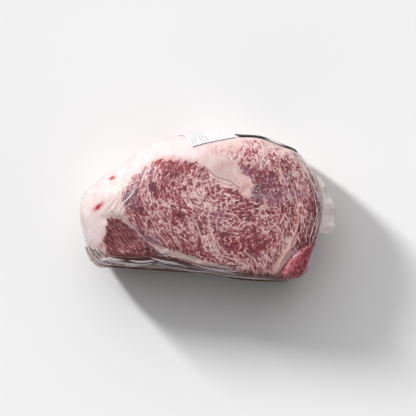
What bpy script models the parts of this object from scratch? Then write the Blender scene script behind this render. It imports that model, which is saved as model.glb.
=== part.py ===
"""A boneless raw beef rib roast in clear film, standing on one of its two cut faces.

The muscles run upwards, so the upper face is the cut across the grain. It shows the eye muscle,
the wedge of fat that runs into it from the fat cap, the thin tail muscle and the chine muscle.
X runs from the tail (left) to the chine (right), Y from the rib side (front) to the fat cap (back).
The film clings to the meat. Only its loose ends, which stand off the meat, are solids of their own.
All sizes are in metres.
"""

import math

import bmesh
import bpy
import numpy as np
from mathutils import Matrix, Vector
from mathutils.bvhtree import BVHTree

# Driving sizes of the roast
HEIGHT = 0.096  # base to the rim of the upper cut face
CROWN = 0.005  # how far the middle of the cut face stands above its rim
FLAT_CUT = 0.0015  # depth pressed flat where the roast stands
LUMP = 0.0006  # unevenness of the walls
LUMPS_FROM = 0.7  # share of the way out from the middle where the unevenness starts
TOP_LEVELS = (0.55, 0.95)  # levels, from -1 to 1, between which the upper face's relief fades in

# Widest outline seen from above, anticlockwise from the middle of the chine side
OUTLINE = (
    (0.1144, -0.0002),
    (0.1083, 0.0271),
    (0.0922, 0.0528),
    (0.0780, 0.0602),
    (0.0548, 0.0685),
    (0.0326, 0.0705),
    (-0.0028, 0.0735),
    (-0.0331, 0.0700),
    (-0.0583, 0.0605),
    (-0.0806, 0.0460),
    (-0.0957, 0.0350),
    (-0.1109, 0.0240),
    (-0.1245, 0.0110),
    (-0.1295, -0.0073),
    (-0.1275, -0.0235),
    (-0.1225, -0.0415),
    (-0.1130, -0.0545),
    (-0.1010, -0.0625),
    (-0.0393, -0.0677),
    (0.0231, -0.0740),
    (0.0699, -0.0771),
    (0.0900, -0.0755),
    (0.1010, -0.0670),
    (0.1045, -0.0510),
    (0.1110, -0.0275),
)
OUTLINE_MIDDLE = (0.0, -0.0020)

# Walls at eight bearings, every 45 degrees anticlockwise from +X: how far the top leans in,
# the level from -1 to 1 where the wall stands out farthest, how far the foot draws in,
# and how sharp the edges are
WALLS = (
    (0.003, 0.00, 0.004, 11.0),
    (0.008, 0.00, 0.004, 9.0),
    (0.011, 0.00, 0.004, 6.0),
    (0.013, 0.00, 0.004, 5.0),
    (0.013, 0.00, 0.004, 6.0),
    (0.011, -0.55, 0.003, 7.0),
    (0.008, -0.80, 0.001, 9.0),
    (0.004, -0.65, 0.002, 12.0),
)

# Seams of fat between the muscles, as grooves in the upper face: half-width, depth, route
SEAMS = (
    (0.0045, 0.0012, ((-0.031, 0.0436), (-0.0046, 0.0338), (0.0139, 0.0202), (0.0344, 0.0124))),
    (0.0050, 0.0016, ((-0.101, -0.014), (-0.0836, -0.0159), (-0.0563, -0.0393), (-0.0124, -0.0549))),
    (0.0040, 0.0010, ((0.0822, 0.0211), (0.087, 0.0046), (0.0802, -0.0325), (0.0636, -0.0637))),
    (0.0035, 0.0018, ((0.0714, -0.0695), (0.0773, -0.0559), (0.087, -0.0442), (0.1017, -0.0384))),
)

# Soft swells of the muscles on the upper face: middle, reach along X and Y, rise
SWELLS = (
    ((-0.035, 0.005), (0.050, 0.038), 0.0020),
    ((0.055, 0.035), (0.035, 0.030), 0.0018),
    ((0.035, -0.035), (0.045, 0.028), 0.0012),
    ((-0.080, -0.040), (0.035, 0.020), -0.0045),
    ((0.022, 0.030), (0.016, 0.014), -0.0022),
)

# Mesh of the roast: spaces along X, Y and Z
ROAST_GRID = (44, 28, 12)

# Labels under the film on the back wall: size, spaces, middle, then three turns in degrees,
# in the label's own plane, back from lying face up, and round the roast
LABEL_THICKNESS = 0.0004
LABEL_GAP = 0.0005
LABEL_STANDOFF = 0.030  # from where a flat label is wrapped on to the wall
LABELS = {
    "white_label": ((0.047, 0.052), (12, 14), (-0.0015, 0.0715, 0.0640), (17.0, -55.0, 3.0)),
    "black_label": ((0.062, 0.056), (16, 12), (0.0590, 0.0660, 0.0490), (5.0, -78.0, -18.0)),
}

# Loose ends of the film: bearings from and to, root heights, droop, reaches, waves, spaces
PLY = 0.0009  # both layers of the film together, made thick enough to handle
FIN_GAP = 0.0006
FINS = {
    "film_tail": {
        "bearings": (20.5, -13.0),
        "root_heights": (0.068, 0.058),
        "droop": (18.0, 34.0),
        "reaches": (0.003, 0.004, 0.007, 0.0135, 0.0157, 0.016),
        "waves": 3.5,
        "wave_height": 0.0022,
        "spaces": (30, 7),
    },
    "film_gather": {
        "bearings": (198.0, 212.0),
        "root_heights": (0.050, 0.022),
        "droop": (30.0, 10.0),
        "reaches": (0.002, 0.004, 0.0055, 0.0055, 0.003),
        "waves": 2.5,
        "wave_height": 0.0012,
        "spaces": (14, 5),
    },
}

# Colours with roughness: base colour, roughness
FINISHES = {
    "bagged_beef": ((0.33, 0.10, 0.11), 0.35),
    "film": ((0.78, 0.74, 0.74), 0.15),
    "white_label": ((0.88, 0.87, 0.89), 0.60),
    "black_label": ((0.012, 0.011, 0.012), 0.45),
}


def closed_curve(points, steps=12):
    """Points along a smooth closed curve through the given ones (Catmull-Rom)."""
    count = len(points)
    curve = []
    for index in range(count):
        before, start, end, after = (Vector(points[(index + k) % count]) for k in (-1, 0, 1, 2))
        for step in range(steps):
            t = step / steps
            curve.append(
                0.5
                * (
                    2 * start
                    + (end - before) * t
                    + (2 * before - 5 * start + 4 * end - after) * t**2
                    + (3 * start - before - 3 * end + after) * t**3
                )
            )
    return curve


def outline_table():
    """Bearings from the outline's middle, in order, and the outline's distance at each."""
    spokes = [point - Vector(OUTLINE_MIDDLE) for point in closed_curve(OUTLINE)]
    table = sorted((math.atan2(spoke.y, spoke.x), spoke.length) for spoke in spokes)
    bearings, distances = zip(*table)
    return bearings, distances


BEARINGS, DISTANCES = outline_table()
HALF_LENGTH = max(point[0] for point in OUTLINE)
HALF_DEPTH = max(point[1] for point in OUTLINE)


def outline_distance(bearing):
    """Distance from the outline's middle to the outline at a bearing in radians."""
    return float(np.interp(bearing, BEARINGS, DISTANCES, period=2 * math.pi))


def wall_form(bearing):
    """The wall's four values at a bearing, changing smoothly round the roast."""
    place = (bearing / (2 * math.pi)) % 1.0 * len(WALLS)
    index = int(place)
    share = step_up(place, index, index + 1)
    here, after = WALLS[index % len(WALLS)], WALLS[(index + 1) % len(WALLS)]
    return [first + (second - first) * share for first, second in zip(here, after)]


def step_up(value, low, high):
    """0 below low, 1 above high, smooth between."""
    share = min(max((value - low) / (high - low), 0.0), 1.0)
    return share * share * (3 - 2 * share)


def distance_to_route(point, route):
    """Shortest distance in plan from a point to a chain of straight lines."""
    nearest = math.inf
    for start, end in zip(route, route[1:]):
        start, end = Vector(start), Vector(end)
        along = end - start
        share = min(max((point - start).dot(along) / along.length_squared, 0.0), 1.0)
        nearest = min(nearest, (point - start - along * share).length)
    return nearest


def face_relief(point):
    """Height that the muscles' swells and the seams' grooves add to the upper face."""
    relief = 0.0
    for middle, reach, rise in SWELLS:
        offset = point - Vector(middle)
        relief += rise * math.exp(-((offset.x / reach[0]) ** 2) - (offset.y / reach[1]) ** 2)
    for half_width, depth, route in SEAMS:
        relief -= depth * math.exp(-((distance_to_route(point, route) / half_width) ** 2))
    return relief


def wall_lumps(bearing, level):
    """Unevenness of the walls, from a few slow waves round and up the roast."""
    return LUMP * (
        math.sin(5 * bearing + 1.1 + 1.5 * level)
        + 0.7 * math.sin(9 * bearing + 0.4 - 2.6 * level)
        + 0.6 * math.cos(3.1 * level + 2 * bearing)
    )


def roast_point(u, v, w):
    """The roast's surface for a point on the skin of a box from -1 to 1.

    The box's top becomes a disc, the disc is stretched to the outline, and the level w is
    rounded into the walls by a superellipse.
    """
    p = u * math.sqrt(1 - v * v / 2)
    q = v * math.sqrt(1 - u * u / 2)
    share = min(math.hypot(p, q), 1.0)
    bearing = math.atan2(q * HALF_DEPTH, p * HALF_LENGTH)
    lean, widest, foot, power = wall_form(bearing)
    shrink = (share**power + abs(w) ** power) ** (1 / power)
    share, level = share / shrink, w / shrink

    oval = math.hypot(HALF_LENGTH * p, HALF_DEPTH * q) / max(math.hypot(p, q), 1e-9)
    drawn_in = lean * (max(level - widest, 0.0) / (1 - widest)) ** 2
    drawn_in += foot * (max(widest - level, 0.0) / (1 + widest)) ** 2
    rim = outline_distance(bearing) - drawn_in
    rim += wall_lumps(bearing, level) * step_up(share, LUMPS_FROM, 1.0)
    reach = share * (oval + (rim - oval) * share**2)
    x = OUTLINE_MIDDLE[0] + reach * math.cos(bearing)
    y = OUTLINE_MIDDLE[1] + reach * math.sin(bearing)

    z = HEIGHT / 2 * (1 + level)
    on_top = step_up(level, *TOP_LEVELS)
    z += on_top * (CROWN * (1 - share**2) + face_relief(Vector((x, y))))
    return Vector((x, y, max(z - FLAT_CUT, 0.0)))


def add_piece(shape, name, finish):
    """A new smooth object on the stand for a finished shape, in its own material."""
    mesh = bpy.data.meshes.new(name)
    shape.to_mesh(mesh)
    shape.free()
    mesh.materials.append(finish)
    mesh.shade_smooth()
    obj = bpy.data.objects.new(name, mesh)
    COLLECTION.objects.link(obj)
    obj.parent = STAND
    return obj


def make_finish(name):
    """A Principled material in the piece's own colour."""
    colour, roughness = FINISHES[name]
    material = bpy.data.materials.new(name)
    material.use_nodes = True
    shader = material.node_tree.nodes["Principled BSDF"]
    shader.inputs["Base Color"].default_value = (*colour, 1.0)
    shader.inputs["Roughness"].default_value = roughness
    shader.inputs["Metallic"].default_value = 0.0
    return material


def split_box(shape, spaces):
    """Cuts a cube's edges into equal spaces along X, Y and Z, with grids on its faces."""
    for axis, count in enumerate(spaces):
        along = [
            edge
            for edge in shape.edges
            if abs(edge.verts[0].co[axis] - edge.verts[1].co[axis]) > 1e-6
        ]
        bmesh.ops.subdivide_edges(shape, edges=along, cuts=count - 1, use_grid_fill=True)


def make_beef(finish):
    """The roast: a divided box drawn into the roast's form, flat where it stands."""
    shape = bmesh.new()
    bmesh.ops.create_cube(shape, size=2)
    split_box(shape, ROAST_GRID)
    for vertex in shape.verts:
        vertex.co = roast_point(*vertex.co)
    standing = [face for face in shape.faces if all(vertex.co.z == 0.0 for vertex in face.verts)]
    bmesh.ops.dissolve_faces(shape, faces=standing, use_verts=True)
    bmesh.ops.recalc_face_normals(shape, faces=shape.faces)
    return add_piece(shape, "bagged_beef", finish)


def make_label(name, beef, finish):
    """A flat label laid on to the roast's wall along its own normal, then given its thickness."""
    size, spaces, middle, turns = LABELS[name]
    shape = bmesh.new()
    bmesh.ops.create_grid(shape, x_segments=spaces[0], y_segments=spaces[1], size=0.5)
    bmesh.ops.scale(shape, vec=(*size, 1.0), verts=shape.verts)
    label = add_piece(shape, name, finish)
    spin, tilt, bearing = (math.radians(turn) for turn in turns)
    facing = Matrix.Rotation(bearing, 3, "Z") @ Matrix.Rotation(tilt, 3, "X")
    label.rotation_euler = (facing @ Matrix.Rotation(spin, 3, "Z")).to_euler()
    label.location = Vector(middle) + facing @ Vector((0.0, 0.0, LABEL_STANDOFF))

    wrap = label.modifiers.new("wrap", "SHRINKWRAP")
    wrap.target = beef
    wrap.wrap_method = "PROJECT"
    wrap.use_project_z = True
    wrap.use_positive_direction = False
    wrap.use_negative_direction = True
    wrap.wrap_mode = "ABOVE_SURFACE"
    wrap.offset = LABEL_GAP
    ease = label.modifiers.new("ease", "SMOOTH")
    ease.factor = 0.5
    ease.iterations = 2
    paper = label.modifiers.new("paper", "SOLIDIFY")
    paper.thickness = LABEL_THICKNESS
    paper.offset = 1.0
    return label


def wall_point(tree, bearing, height):
    """Where a level line from outside meets the roast's wall, at a bearing and a height."""
    outward = Vector((math.cos(bearing), math.sin(bearing), 0.0))
    start = Vector((*OUTLINE_MIDDLE, height)) + outward * 2 * HALF_LENGTH
    place, _, _, _ = tree.ray_cast(start, -outward)
    return place, outward


def fin_reach(reaches, share):
    """Length of the film's loose end at a share of the way along its root."""
    return float(np.interp(share, np.linspace(0.0, 1.0, len(reaches)), reaches))


def make_fin(name, tree, finish):
    """A loose end of the film: a waved strip that leaves the wall and droops outwards."""
    fin = FINS[name]
    first, last = (math.radians(angle) for angle in fin["bearings"])
    shape = bmesh.new()
    along_count, out_count = fin["spaces"]
    bmesh.ops.create_grid(shape, x_segments=along_count, y_segments=out_count, size=0.5)
    for vertex in shape.verts:
        along, out = vertex.co.x + 0.5, vertex.co.y + 0.5
        bearing = first + (last - first) * along
        height = fin["root_heights"][0] * (1 - along) + fin["root_heights"][1] * along
        droop = math.radians(fin["droop"][0] * (1 - along) + fin["droop"][1] * along)
        root, outward = wall_point(tree, bearing, height)
        length = fin_reach(fin["reaches"], along) * out
        wave = math.sin(2 * math.pi * fin["waves"] * along + 0.8) * fin["wave_height"] * out
        vertex.co = (
            root
            + outward * (FIN_GAP + length * math.cos(droop))
            + Vector((0.0, 0.0, wave - length * math.sin(droop)))
        )
    bmesh.ops.recalc_face_normals(shape, faces=shape.faces)
    obj = add_piece(shape, name, finish)
    plies = obj.modifiers.new("plies", "SOLIDIFY")
    plies.thickness = PLY
    plies.offset = 0.0
    return obj


def centre_on_origin(objects):
    """Moves the stand so that the origin lies at the middle of the whole part's base."""
    bpy.context.view_layer.update()
    graph = bpy.context.evaluated_depsgraph_get()
    places = []
    for obj in objects:
        seen = obj.evaluated_get(graph)
        places += [seen.matrix_world @ vertex.co for vertex in seen.data.vertices]
    for axis in (0, 1):
        reached = [place[axis] for place in places]
        STAND.location[axis] = -(min(reached) + max(reached)) / 2


for old in list(bpy.data.objects):
    bpy.data.objects.remove(old, do_unlink=True)

COLLECTION = bpy.data.collections.new("rib_roast")
bpy.context.scene.collection.children.link(COLLECTION)
STAND = bpy.data.objects.new("stand", None)
COLLECTION.objects.link(STAND)

BEEF = make_beef(make_finish("bagged_beef"))
bpy.context.view_layer.update()
BEEF_TREE = BVHTree.FromObject(BEEF, bpy.context.evaluated_depsgraph_get())
FILM_FINISH = make_finish("film")
PIECES = [BEEF]
for fin_name in FINS:
    PIECES.append(make_fin(fin_name, BEEF_TREE, FILM_FINISH))
for label_name in LABELS:
    PIECES.append(make_label(label_name, BEEF, make_finish(label_name)))
centre_on_origin(PIECES)
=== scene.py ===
"""Looks of a boneless raw beef rib roast in clear shrink film, for Blender 4.5.

The roast stands on one cut face. Its plan is drawn round a middle near the part's origin, with X
from the tail of fat to the chine, Y from the rib side to the fat cap and Z up along the grain.
Places on the roast are in metres in that plan. Noise and marking sizes are in millimetres.
"""

import logging
import math
from collections.abc import Callable
from dataclasses import dataclass, field
from enum import Enum
from functools import partial
from typing import Any

import bmesh
import bpy
import numpy as np
from mathutils import Matrix, Vector
from mathutils.bvhtree import BVHTree


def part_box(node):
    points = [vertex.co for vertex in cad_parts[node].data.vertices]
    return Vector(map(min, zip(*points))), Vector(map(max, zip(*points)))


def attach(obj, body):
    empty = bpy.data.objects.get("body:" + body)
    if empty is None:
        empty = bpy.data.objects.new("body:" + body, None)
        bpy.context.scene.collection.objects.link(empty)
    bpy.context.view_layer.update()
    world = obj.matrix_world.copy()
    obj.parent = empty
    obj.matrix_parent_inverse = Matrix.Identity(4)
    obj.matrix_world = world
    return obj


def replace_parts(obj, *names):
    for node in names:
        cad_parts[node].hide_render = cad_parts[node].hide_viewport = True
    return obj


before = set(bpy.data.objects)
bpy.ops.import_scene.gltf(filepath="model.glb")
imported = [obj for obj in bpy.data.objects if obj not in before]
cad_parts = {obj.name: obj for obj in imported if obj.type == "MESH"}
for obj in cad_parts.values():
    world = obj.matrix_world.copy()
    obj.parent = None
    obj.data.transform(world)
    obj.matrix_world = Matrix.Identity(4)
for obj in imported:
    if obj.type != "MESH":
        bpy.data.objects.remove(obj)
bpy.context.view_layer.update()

LOG = logging.getLogger("rib_roast")
MM = 0.001
ROOT = "root"
KEY_UNIT = math.pi**2  # lamp strength at which a level white floor under the key light alone looks white

Points = np.ndarray
Inputs = dict[str, Any]
AddNode = Callable[..., Any]

# What the beef's mesh stores for its material: the three numbers of each attribute
STORED_MARKS = {
    "layers": ("fat_depth", "tail_depth", "chine"),
    # tan: partly painted shade between the film's wrinkles
    "fat_marks": ("tan", "blush", "blood"),
    "seams": ("corner", "vein", "beige"),
    # haze: where a film sheen is painted on the lean and shade on the fat
    "tones": ("dark", "red", "haze"),
    # crease: how near the creases are, where the material paints shade
    "body": ("thin", "rib", "crease"),
}


class Slot(Enum):
    """The record's material slots that the scene's own pieces stand for."""

    BEEF = "beef"
    FILM = "film"


class Surface(Enum):
    """Where a fold of the film lies, which decides how its route is laid on the roast."""

    CUT_FACE = "points are X and Y, dropped from above"
    WALL = "points are a bearing in degrees and a height, pressed in from outside"


# Shader nodes

MATH_NODE = ("Math", (0, 1, 2), 0)
VECTOR_NODE = ("VectorMath", (0, 1, 2), 0)
RANGE_NODE = ("MapRange", ("Value", "From Min", "From Max", "To Min", "To Max"), "Result")
NOISE_NODE = ("TexNoise", ("Vector", "Scale", "Detail", "Roughness", "Distortion"))
MIX_NODE = ("Mix", (0, 6, 7), 2)
BODY_INPUTS = (
    "Base Color", "Roughness", "IOR", "Specular IOR Level", "Normal", "Emission Color", "Emission Strength",
)


class Step(Enum):
    """What a node does: its type, its inputs in the order of their values, its output and its settings."""

    # Where a point is
    PLACE = ("TexCoord", (), "Object", {})
    AHEAD = ("TexCoord", (), "Generated", {})
    STORED = ("Attribute", (), "Vector", {})
    BACK = ("NewGeometry", (), "Backfacing", {})
    # Numbers
    ADD = (*MATH_NODE, {"operation": "ADD"})
    SUBTRACT = (*MATH_NODE, {"operation": "SUBTRACT"})
    MULTIPLY = (*MATH_NODE, {"operation": "MULTIPLY"})
    DIVIDE = (*MATH_NODE, {"operation": "DIVIDE"})
    MULTIPLY_ADD = (*MATH_NODE, {"operation": "MULTIPLY_ADD"})
    ABSOLUTE = (*MATH_NODE, {"operation": "ABSOLUTE"})
    SINE = (*MATH_NODE, {"operation": "SINE"})
    EXPONENT = (*MATH_NODE, {"operation": "EXPONENT"})
    FRACT = (*MATH_NODE, {"operation": "FRACT"})
    FLOOR = (*MATH_NODE, {"operation": "FLOOR"})
    COMPARE = (*MATH_NODE, {"operation": "COMPARE"})
    LESS_THAN = (*MATH_NODE, {"operation": "LESS_THAN"})
    GREATER_THAN = (*MATH_NODE, {"operation": "GREATER_THAN"})
    SPAN = (*RANGE_NODE, {})
    EASE = (*RANGE_NODE, {"interpolation_type": "SMOOTHSTEP"})
    # Vectors
    SPLIT = ("SeparateXYZ", (0,), 0, {})
    JOIN = ("CombineXYZ", (0, 1, 2), 0, {})
    VECTOR_SUBTRACT = (*VECTOR_NODE, {"operation": "SUBTRACT"})
    VECTOR_MULTIPLY = (*VECTOR_NODE, {"operation": "MULTIPLY"})
    VECTOR_MULTIPLY_ADD = (*VECTOR_NODE, {"operation": "MULTIPLY_ADD"})
    VECTOR_MIX = ("MixRGB", (0, 1, 2), 0, {})
    DOT = ("VectorMath", (0, 1), "Value", {"operation": "DOT_PRODUCT"})
    LENGTH = ("VectorMath", (0,), "Value", {"operation": "LENGTH"})
    # Patterns and colours
    NOISE = (*NOISE_NODE, "Fac", {})
    NOISE_VECTOR = (*NOISE_NODE, "Color", {})
    CELLS = ("TexVoronoi", ("Vector", "Scale", "Randomness"), "Distance", {"feature": "DISTANCE_TO_EDGE"})
    RAMP = ("ValToRGB", (0,), "Color", {})
    MIX = (*MIX_NODE, {"data_type": "RGBA"})
    TINT = (*MIX_NODE, {"data_type": "RGBA", "blend_type": "MULTIPLY"})
    # Surfaces and light
    BUMP = ("Bump", ("Strength", "Distance", "Height"), "Normal", {})
    FRESNEL = ("Fresnel", ("IOR", "Normal"), 0, {})
    CLEAR = ("BsdfTransparent", ("Color",), 0, {})
    DIFFUSE = ("BsdfDiffuse", ("Color", "Normal"), 0, {})
    MIRROR = ("BsdfGlossy", ("Roughness", "Normal"), 0, {})
    BODY = ("BsdfPrincipled", BODY_INPUTS, 0, {})
    LAYER = ("MixShader", (0, 1, 2), 0, {})
    SURFACE = ("OutputMaterial", ("Surface",), None, {})
    FALLOFF = ("LightFalloff", ("Strength",), "Constant", {})


def add_node(tree: bpy.types.NodeTree, step: Step, *values: Any, **settings: Any) -> Any:
    """Adds a shader node.

    Args:
        tree: The tree that takes the node.
        step: What the node does.
        values: A value or another node's output for each of the step's inputs, or None to leave it.
        settings: Values of the node's own properties, besides the step's.

    Returns:
        The step's output, whose node has the others.
    """
    kind, inputs, output, fixed = step.value
    node = tree.nodes.new("ShaderNode" + kind)
    for name, value in {**fixed, **settings}.items():
        setattr(node, name, value)
    for key, value in zip(inputs, values):
        if isinstance(value, bpy.types.NodeSocket):
            tree.links.new(value, node.inputs[key])
        elif value is not None:
            node.inputs[key].default_value = value
    return None if output is None else node.outputs[output]


def linear(colour: str) -> tuple[float, float, float, float]:
    """Turns an sRGB hex colour such as "#AA3344" into linear red, green, blue and alpha."""
    parts = [int(colour[place : place + 2], 16) / 255 for place in (1, 3, 5)]
    parts = [part / 12.92 if part <= 0.04045 else ((part + 0.055) / 1.055) ** 2.4 for part in parts]
    return (*parts, 1.0)


def set_stops(ramp: bpy.types.NodeSocket, stops: dict[float, str]) -> None:
    """Gives a colour ramp its stops, from position to sRGB hex colour."""
    places = ramp.node.color_ramp.elements
    while len(places) < len(stops):
        places.new(0.5)
    for place, (position, colour) in zip(places, sorted(stops.items())):
        place.position = position
        place.color = linear(colour)


def new_material(name: str) -> tuple[bpy.types.Material, AddNode]:
    """Makes an empty node material, and returns it with the function that adds its nodes."""
    material = bpy.data.materials.new(name)
    material.use_nodes = True
    material.node_tree.nodes.clear()
    return material, partial(add_node, material.node_tree)


def paint(add: AddNode, colour: Any, *coats: tuple[Step, Any, Any, str]) -> Any:
    """Lays coats of colour over one another.

    Args:
        add: The function that adds the material's nodes.
        colour: The colour underneath.
        coats: For each coat how it is laid, two factors whose product is its cover, and its sRGB tone.

    Returns:
        The colour that shows.
    """
    for step, cover, share, tone in coats:
        colour = add(step, add(Step.MULTIPLY, cover, share), colour, linear(tone))
    return colour


# Meshes


def add_piece(name: str, mesh: bpy.types.Mesh, material: bpy.types.Material) -> bpy.types.Object:
    """Adds a finished mesh as a smooth piece that rides on the roast.

    Args:
        name: The piece's name.
        mesh: Its mesh, in the row frame.
        material: What it is dressed in.

    Returns:
        The new object.
    """
    mesh.materials.clear()
    mesh.materials.append(material)
    mesh.shade_smooth()
    piece = bpy.data.objects.new(name, mesh)
    bpy.context.scene.collection.objects.link(piece)
    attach(piece, ROOT)
    LOG.info("%s: %d faces", name, len(mesh.polygons))
    return piece


def mesh_points(mesh: bpy.types.Mesh, field_name: str = "co") -> Points:
    """Reads the vertices' places, or their normals, as rows of three."""
    values = np.empty(len(mesh.vertices) * 3)
    mesh.vertices.foreach_get(field_name, values)
    return values.reshape(-1, 3)


def move_points(mesh: bpy.types.Mesh, points: Points) -> None:
    """Writes the vertices' places."""
    mesh.vertices.foreach_set("co", points.ravel())
    mesh.update()


def add_attribute(mesh: bpy.types.Mesh, name: str, values: Points) -> None:
    """Stores three numbers a vertex under a name, for the material to read."""
    attribute = mesh.attributes.new(name, "FLOAT_VECTOR", "POINT")
    attribute.data.foreach_set("vector", np.ascontiguousarray(values, dtype=float).ravel())


def step_up(values: Points, low: float, high: float) -> Points:
    """0 below low, 1 above high and smooth between."""
    share = np.clip((values - low) / (high - low), 0.0, 1.0)
    return share * share * (3 - 2 * share)


def closed_curve(points: Points, steps: int = 12) -> Points:
    """Points along a smooth closed curve through the given ones (Catmull-Rom)."""
    before, end, after = np.roll(points, 1, 0), np.roll(points, -1, 0), np.roll(points, -2, 0)
    rows = []
    for step in range(steps):
        t = step / steps
        rows.append(
            0.5
            * (
                2 * points
                + (end - before) * t
                + (2 * before - 5 * points + 4 * end - after) * t**2
                + (3 * points - before - 3 * end + after) * t**3
            )
        )
    return np.stack(rows, 1).reshape(-1, points.shape[1])


def route_distance(places: Points, route: Points) -> Points:
    """Signed distance in plan from places to a chain of straight lines.

    Args:
        places: Rows of X and Y.
        route: Rows of X and Y along the chain.

    Returns:
        The distance to the nearest line, positive on the left of the way along the chain.
    """
    nearest = np.full(len(places), np.inf)
    side = np.ones(len(places))
    for start, end in zip(route, route[1:]):
        along = end - start
        share = np.clip((places - start) @ along / (along @ along), 0.0, 1.0)
        offset = places - start - share[:, None] * along
        distance = np.hypot(offset[:, 0], offset[:, 1])
        left = along[0] * offset[:, 1] - along[1] * offset[:, 0] >= 0
        closer = distance < nearest
        nearest = np.where(closer, distance, nearest)
        side = np.where(closer, np.where(left, 1.0, -1.0), side)
    return nearest * side


def inside(places: Points, ring: Points) -> Points:
    """True for each place that lies inside a closed ring."""
    odd = np.zeros(len(places), bool)
    for start, end in zip(ring, np.roll(ring, -1, 0)):
        spans = (start[1] > places[:, 1]) != (end[1] > places[:, 1])
        if start[1] == end[1]:
            continue
        crossing = start[0] + (places[:, 1] - start[1]) * (end[0] - start[0]) / (end[1] - start[1])
        odd ^= spans & (places[:, 0] < crossing)
    return odd


def depth_in(places: Points, ring: Points) -> Points:
    """Distance inside a closed ring, negative outside it."""
    distance = np.abs(route_distance(places, np.vstack([ring, ring[:1]])))
    return np.where(inside(places, ring), distance, -distance)


# The roast's form, as in the part's own source


@dataclass(frozen=True)
class RoastForm:
    """The roast's outer form, which the film clings to."""

    height: float = 0.096
    crown: float = 0.005
    flat_cut: float = 0.0015
    lump: float = 0.0006
    lumps_from: float = 0.7
    top_levels: tuple[float, float] = (0.55, 0.95)
    outline: tuple[tuple[float, float], ...] = (
        (0.1144, -0.0002), (0.1083, 0.0271), (0.0922, 0.0528), (0.0780, 0.0602), (0.0548, 0.0685),
        (0.0326, 0.0705), (-0.0028, 0.0735), (-0.0331, 0.0700), (-0.0583, 0.0605), (-0.0806, 0.0460),
        (-0.0957, 0.0350), (-0.1109, 0.0240), (-0.1245, 0.0110), (-0.1295, -0.0073), (-0.1275, -0.0235),
        (-0.1225, -0.0415), (-0.1130, -0.0545), (-0.1010, -0.0625), (-0.0393, -0.0677), (0.0231, -0.0740),
        (0.0699, -0.0771), (0.0900, -0.0755), (0.1010, -0.0670), (0.1045, -0.0510), (0.1110, -0.0275),
    )
    middle: tuple[float, float] = (0.0, -0.0020)
    # Every 45 degrees anticlockwise from +X: lean, widest level, foot, sharpness of the edges
    walls: tuple[tuple[float, float, float, float], ...] = (
        (0.003, 0.00, 0.004, 11.0),
        (0.008, 0.00, 0.004, 9.0),
        (0.011, 0.00, 0.004, 6.0),
        (0.013, 0.00, 0.004, 5.0),
        (0.013, 0.00, 0.004, 6.0),
        (0.011, -0.55, 0.003, 7.0),
        (0.008, -0.80, 0.001, 9.0),
        (0.004, -0.65, 0.002, 12.0),
    )
    # Grooves of fat in the upper face: half-width, depth, route
    seams: tuple[tuple[float, float, tuple[tuple[float, float], ...]], ...] = (
        (0.0045, 0.0012, ((-0.031, 0.0436), (-0.0046, 0.0338), (0.0139, 0.0202), (0.0344, 0.0124))),
        (0.0050, 0.0016, ((-0.101, -0.014), (-0.0836, -0.0159), (-0.0563, -0.0393), (-0.0124, -0.0549))),
        (0.0040, 0.0010, ((0.0822, 0.0211), (0.087, 0.0046), (0.0802, -0.0325), (0.0636, -0.0637))),
        (0.0035, 0.0018, ((0.0714, -0.0695), (0.0773, -0.0559), (0.087, -0.0442), (0.1017, -0.0384))),
    )
    # Swells of the muscles: middle, reach along X and Y, rise
    swells: tuple[tuple[tuple[float, float], tuple[float, float], float], ...] = (
        ((-0.035, 0.005), (0.050, 0.038), 0.0020),
        ((0.055, 0.035), (0.035, 0.030), 0.0018),
        ((0.035, -0.035), (0.045, 0.028), 0.0012),
        ((-0.080, -0.040), (0.035, 0.020), -0.0045),
        ((0.022, 0.030), (0.016, 0.014), -0.0022),
    )

    def outline_distance(self, bearing: Points) -> Points:
        """Distance from the middle to the outline at each bearing in radians."""
        spokes = closed_curve(np.array(self.outline)) - self.middle
        bearings = np.arctan2(spokes[:, 1], spokes[:, 0])
        order = np.argsort(bearings)
        return np.interp(bearing, bearings[order], np.hypot(*spokes.T)[order], period=2 * math.pi)

    def wall_form(self, bearing: Points) -> Points:
        """The wall's four values at each bearing, as four rows."""
        table = np.array(self.walls)
        place = (bearing / (2 * math.pi)) % 1.0 * len(table)
        index = place.astype(int)
        share = step_up(place - index, 0.0, 1.0)[:, None]
        here, after = table[index % len(table)], table[(index + 1) % len(table)]
        return (here + (after - here) * share).T

    def face_relief(self, places: Points) -> Points:
        """Height that the swells and the seams add to the upper face at rows of X and Y."""
        relief = np.zeros(len(places))
        for middle, reach, rise in self.swells:
            relief += rise * np.exp(-(((places - middle) / reach) ** 2).sum(1))
        for half_width, depth, route in self.seams:
            relief -= depth * np.exp(-((route_distance(places, np.array(route)) / half_width) ** 2))
        return relief

    def wall_lumps(self, bearing: Points, level: Points) -> Points:
        """Unevenness of the walls, from a few slow waves round and up the roast."""
        return self.lump * (
            np.sin(5 * bearing + 1.1 + 1.5 * level)
            + 0.7 * np.sin(9 * bearing + 0.4 - 2.6 * level)
            + 0.6 * np.cos(3.1 * level + 2 * bearing)
        )

    def points(self, box: Points) -> Points:
        """Draws points on the skin of a box from -1 to 1 into the roast's form.

        Args:
            box: Rows of three numbers from -1 to 1, at least one of them -1 or 1.

        Returns:
            Rows of X, Y and Z in metres.
        """
        u, v, w = box.T
        half_length = max(point[0] for point in self.outline)
        half_depth = max(point[1] for point in self.outline)
        p, q = u * np.sqrt(1 - v * v / 2), v * np.sqrt(1 - u * u / 2)
        radius = np.hypot(p, q)
        bearing = np.arctan2(q * half_depth, p * half_length)
        lean, widest, foot, power = self.wall_form(bearing)
        share = np.minimum(radius, 1.0)
        shrink = (share**power + np.abs(w) ** power) ** (1 / power)
        share, level = share / shrink, w / shrink

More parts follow.
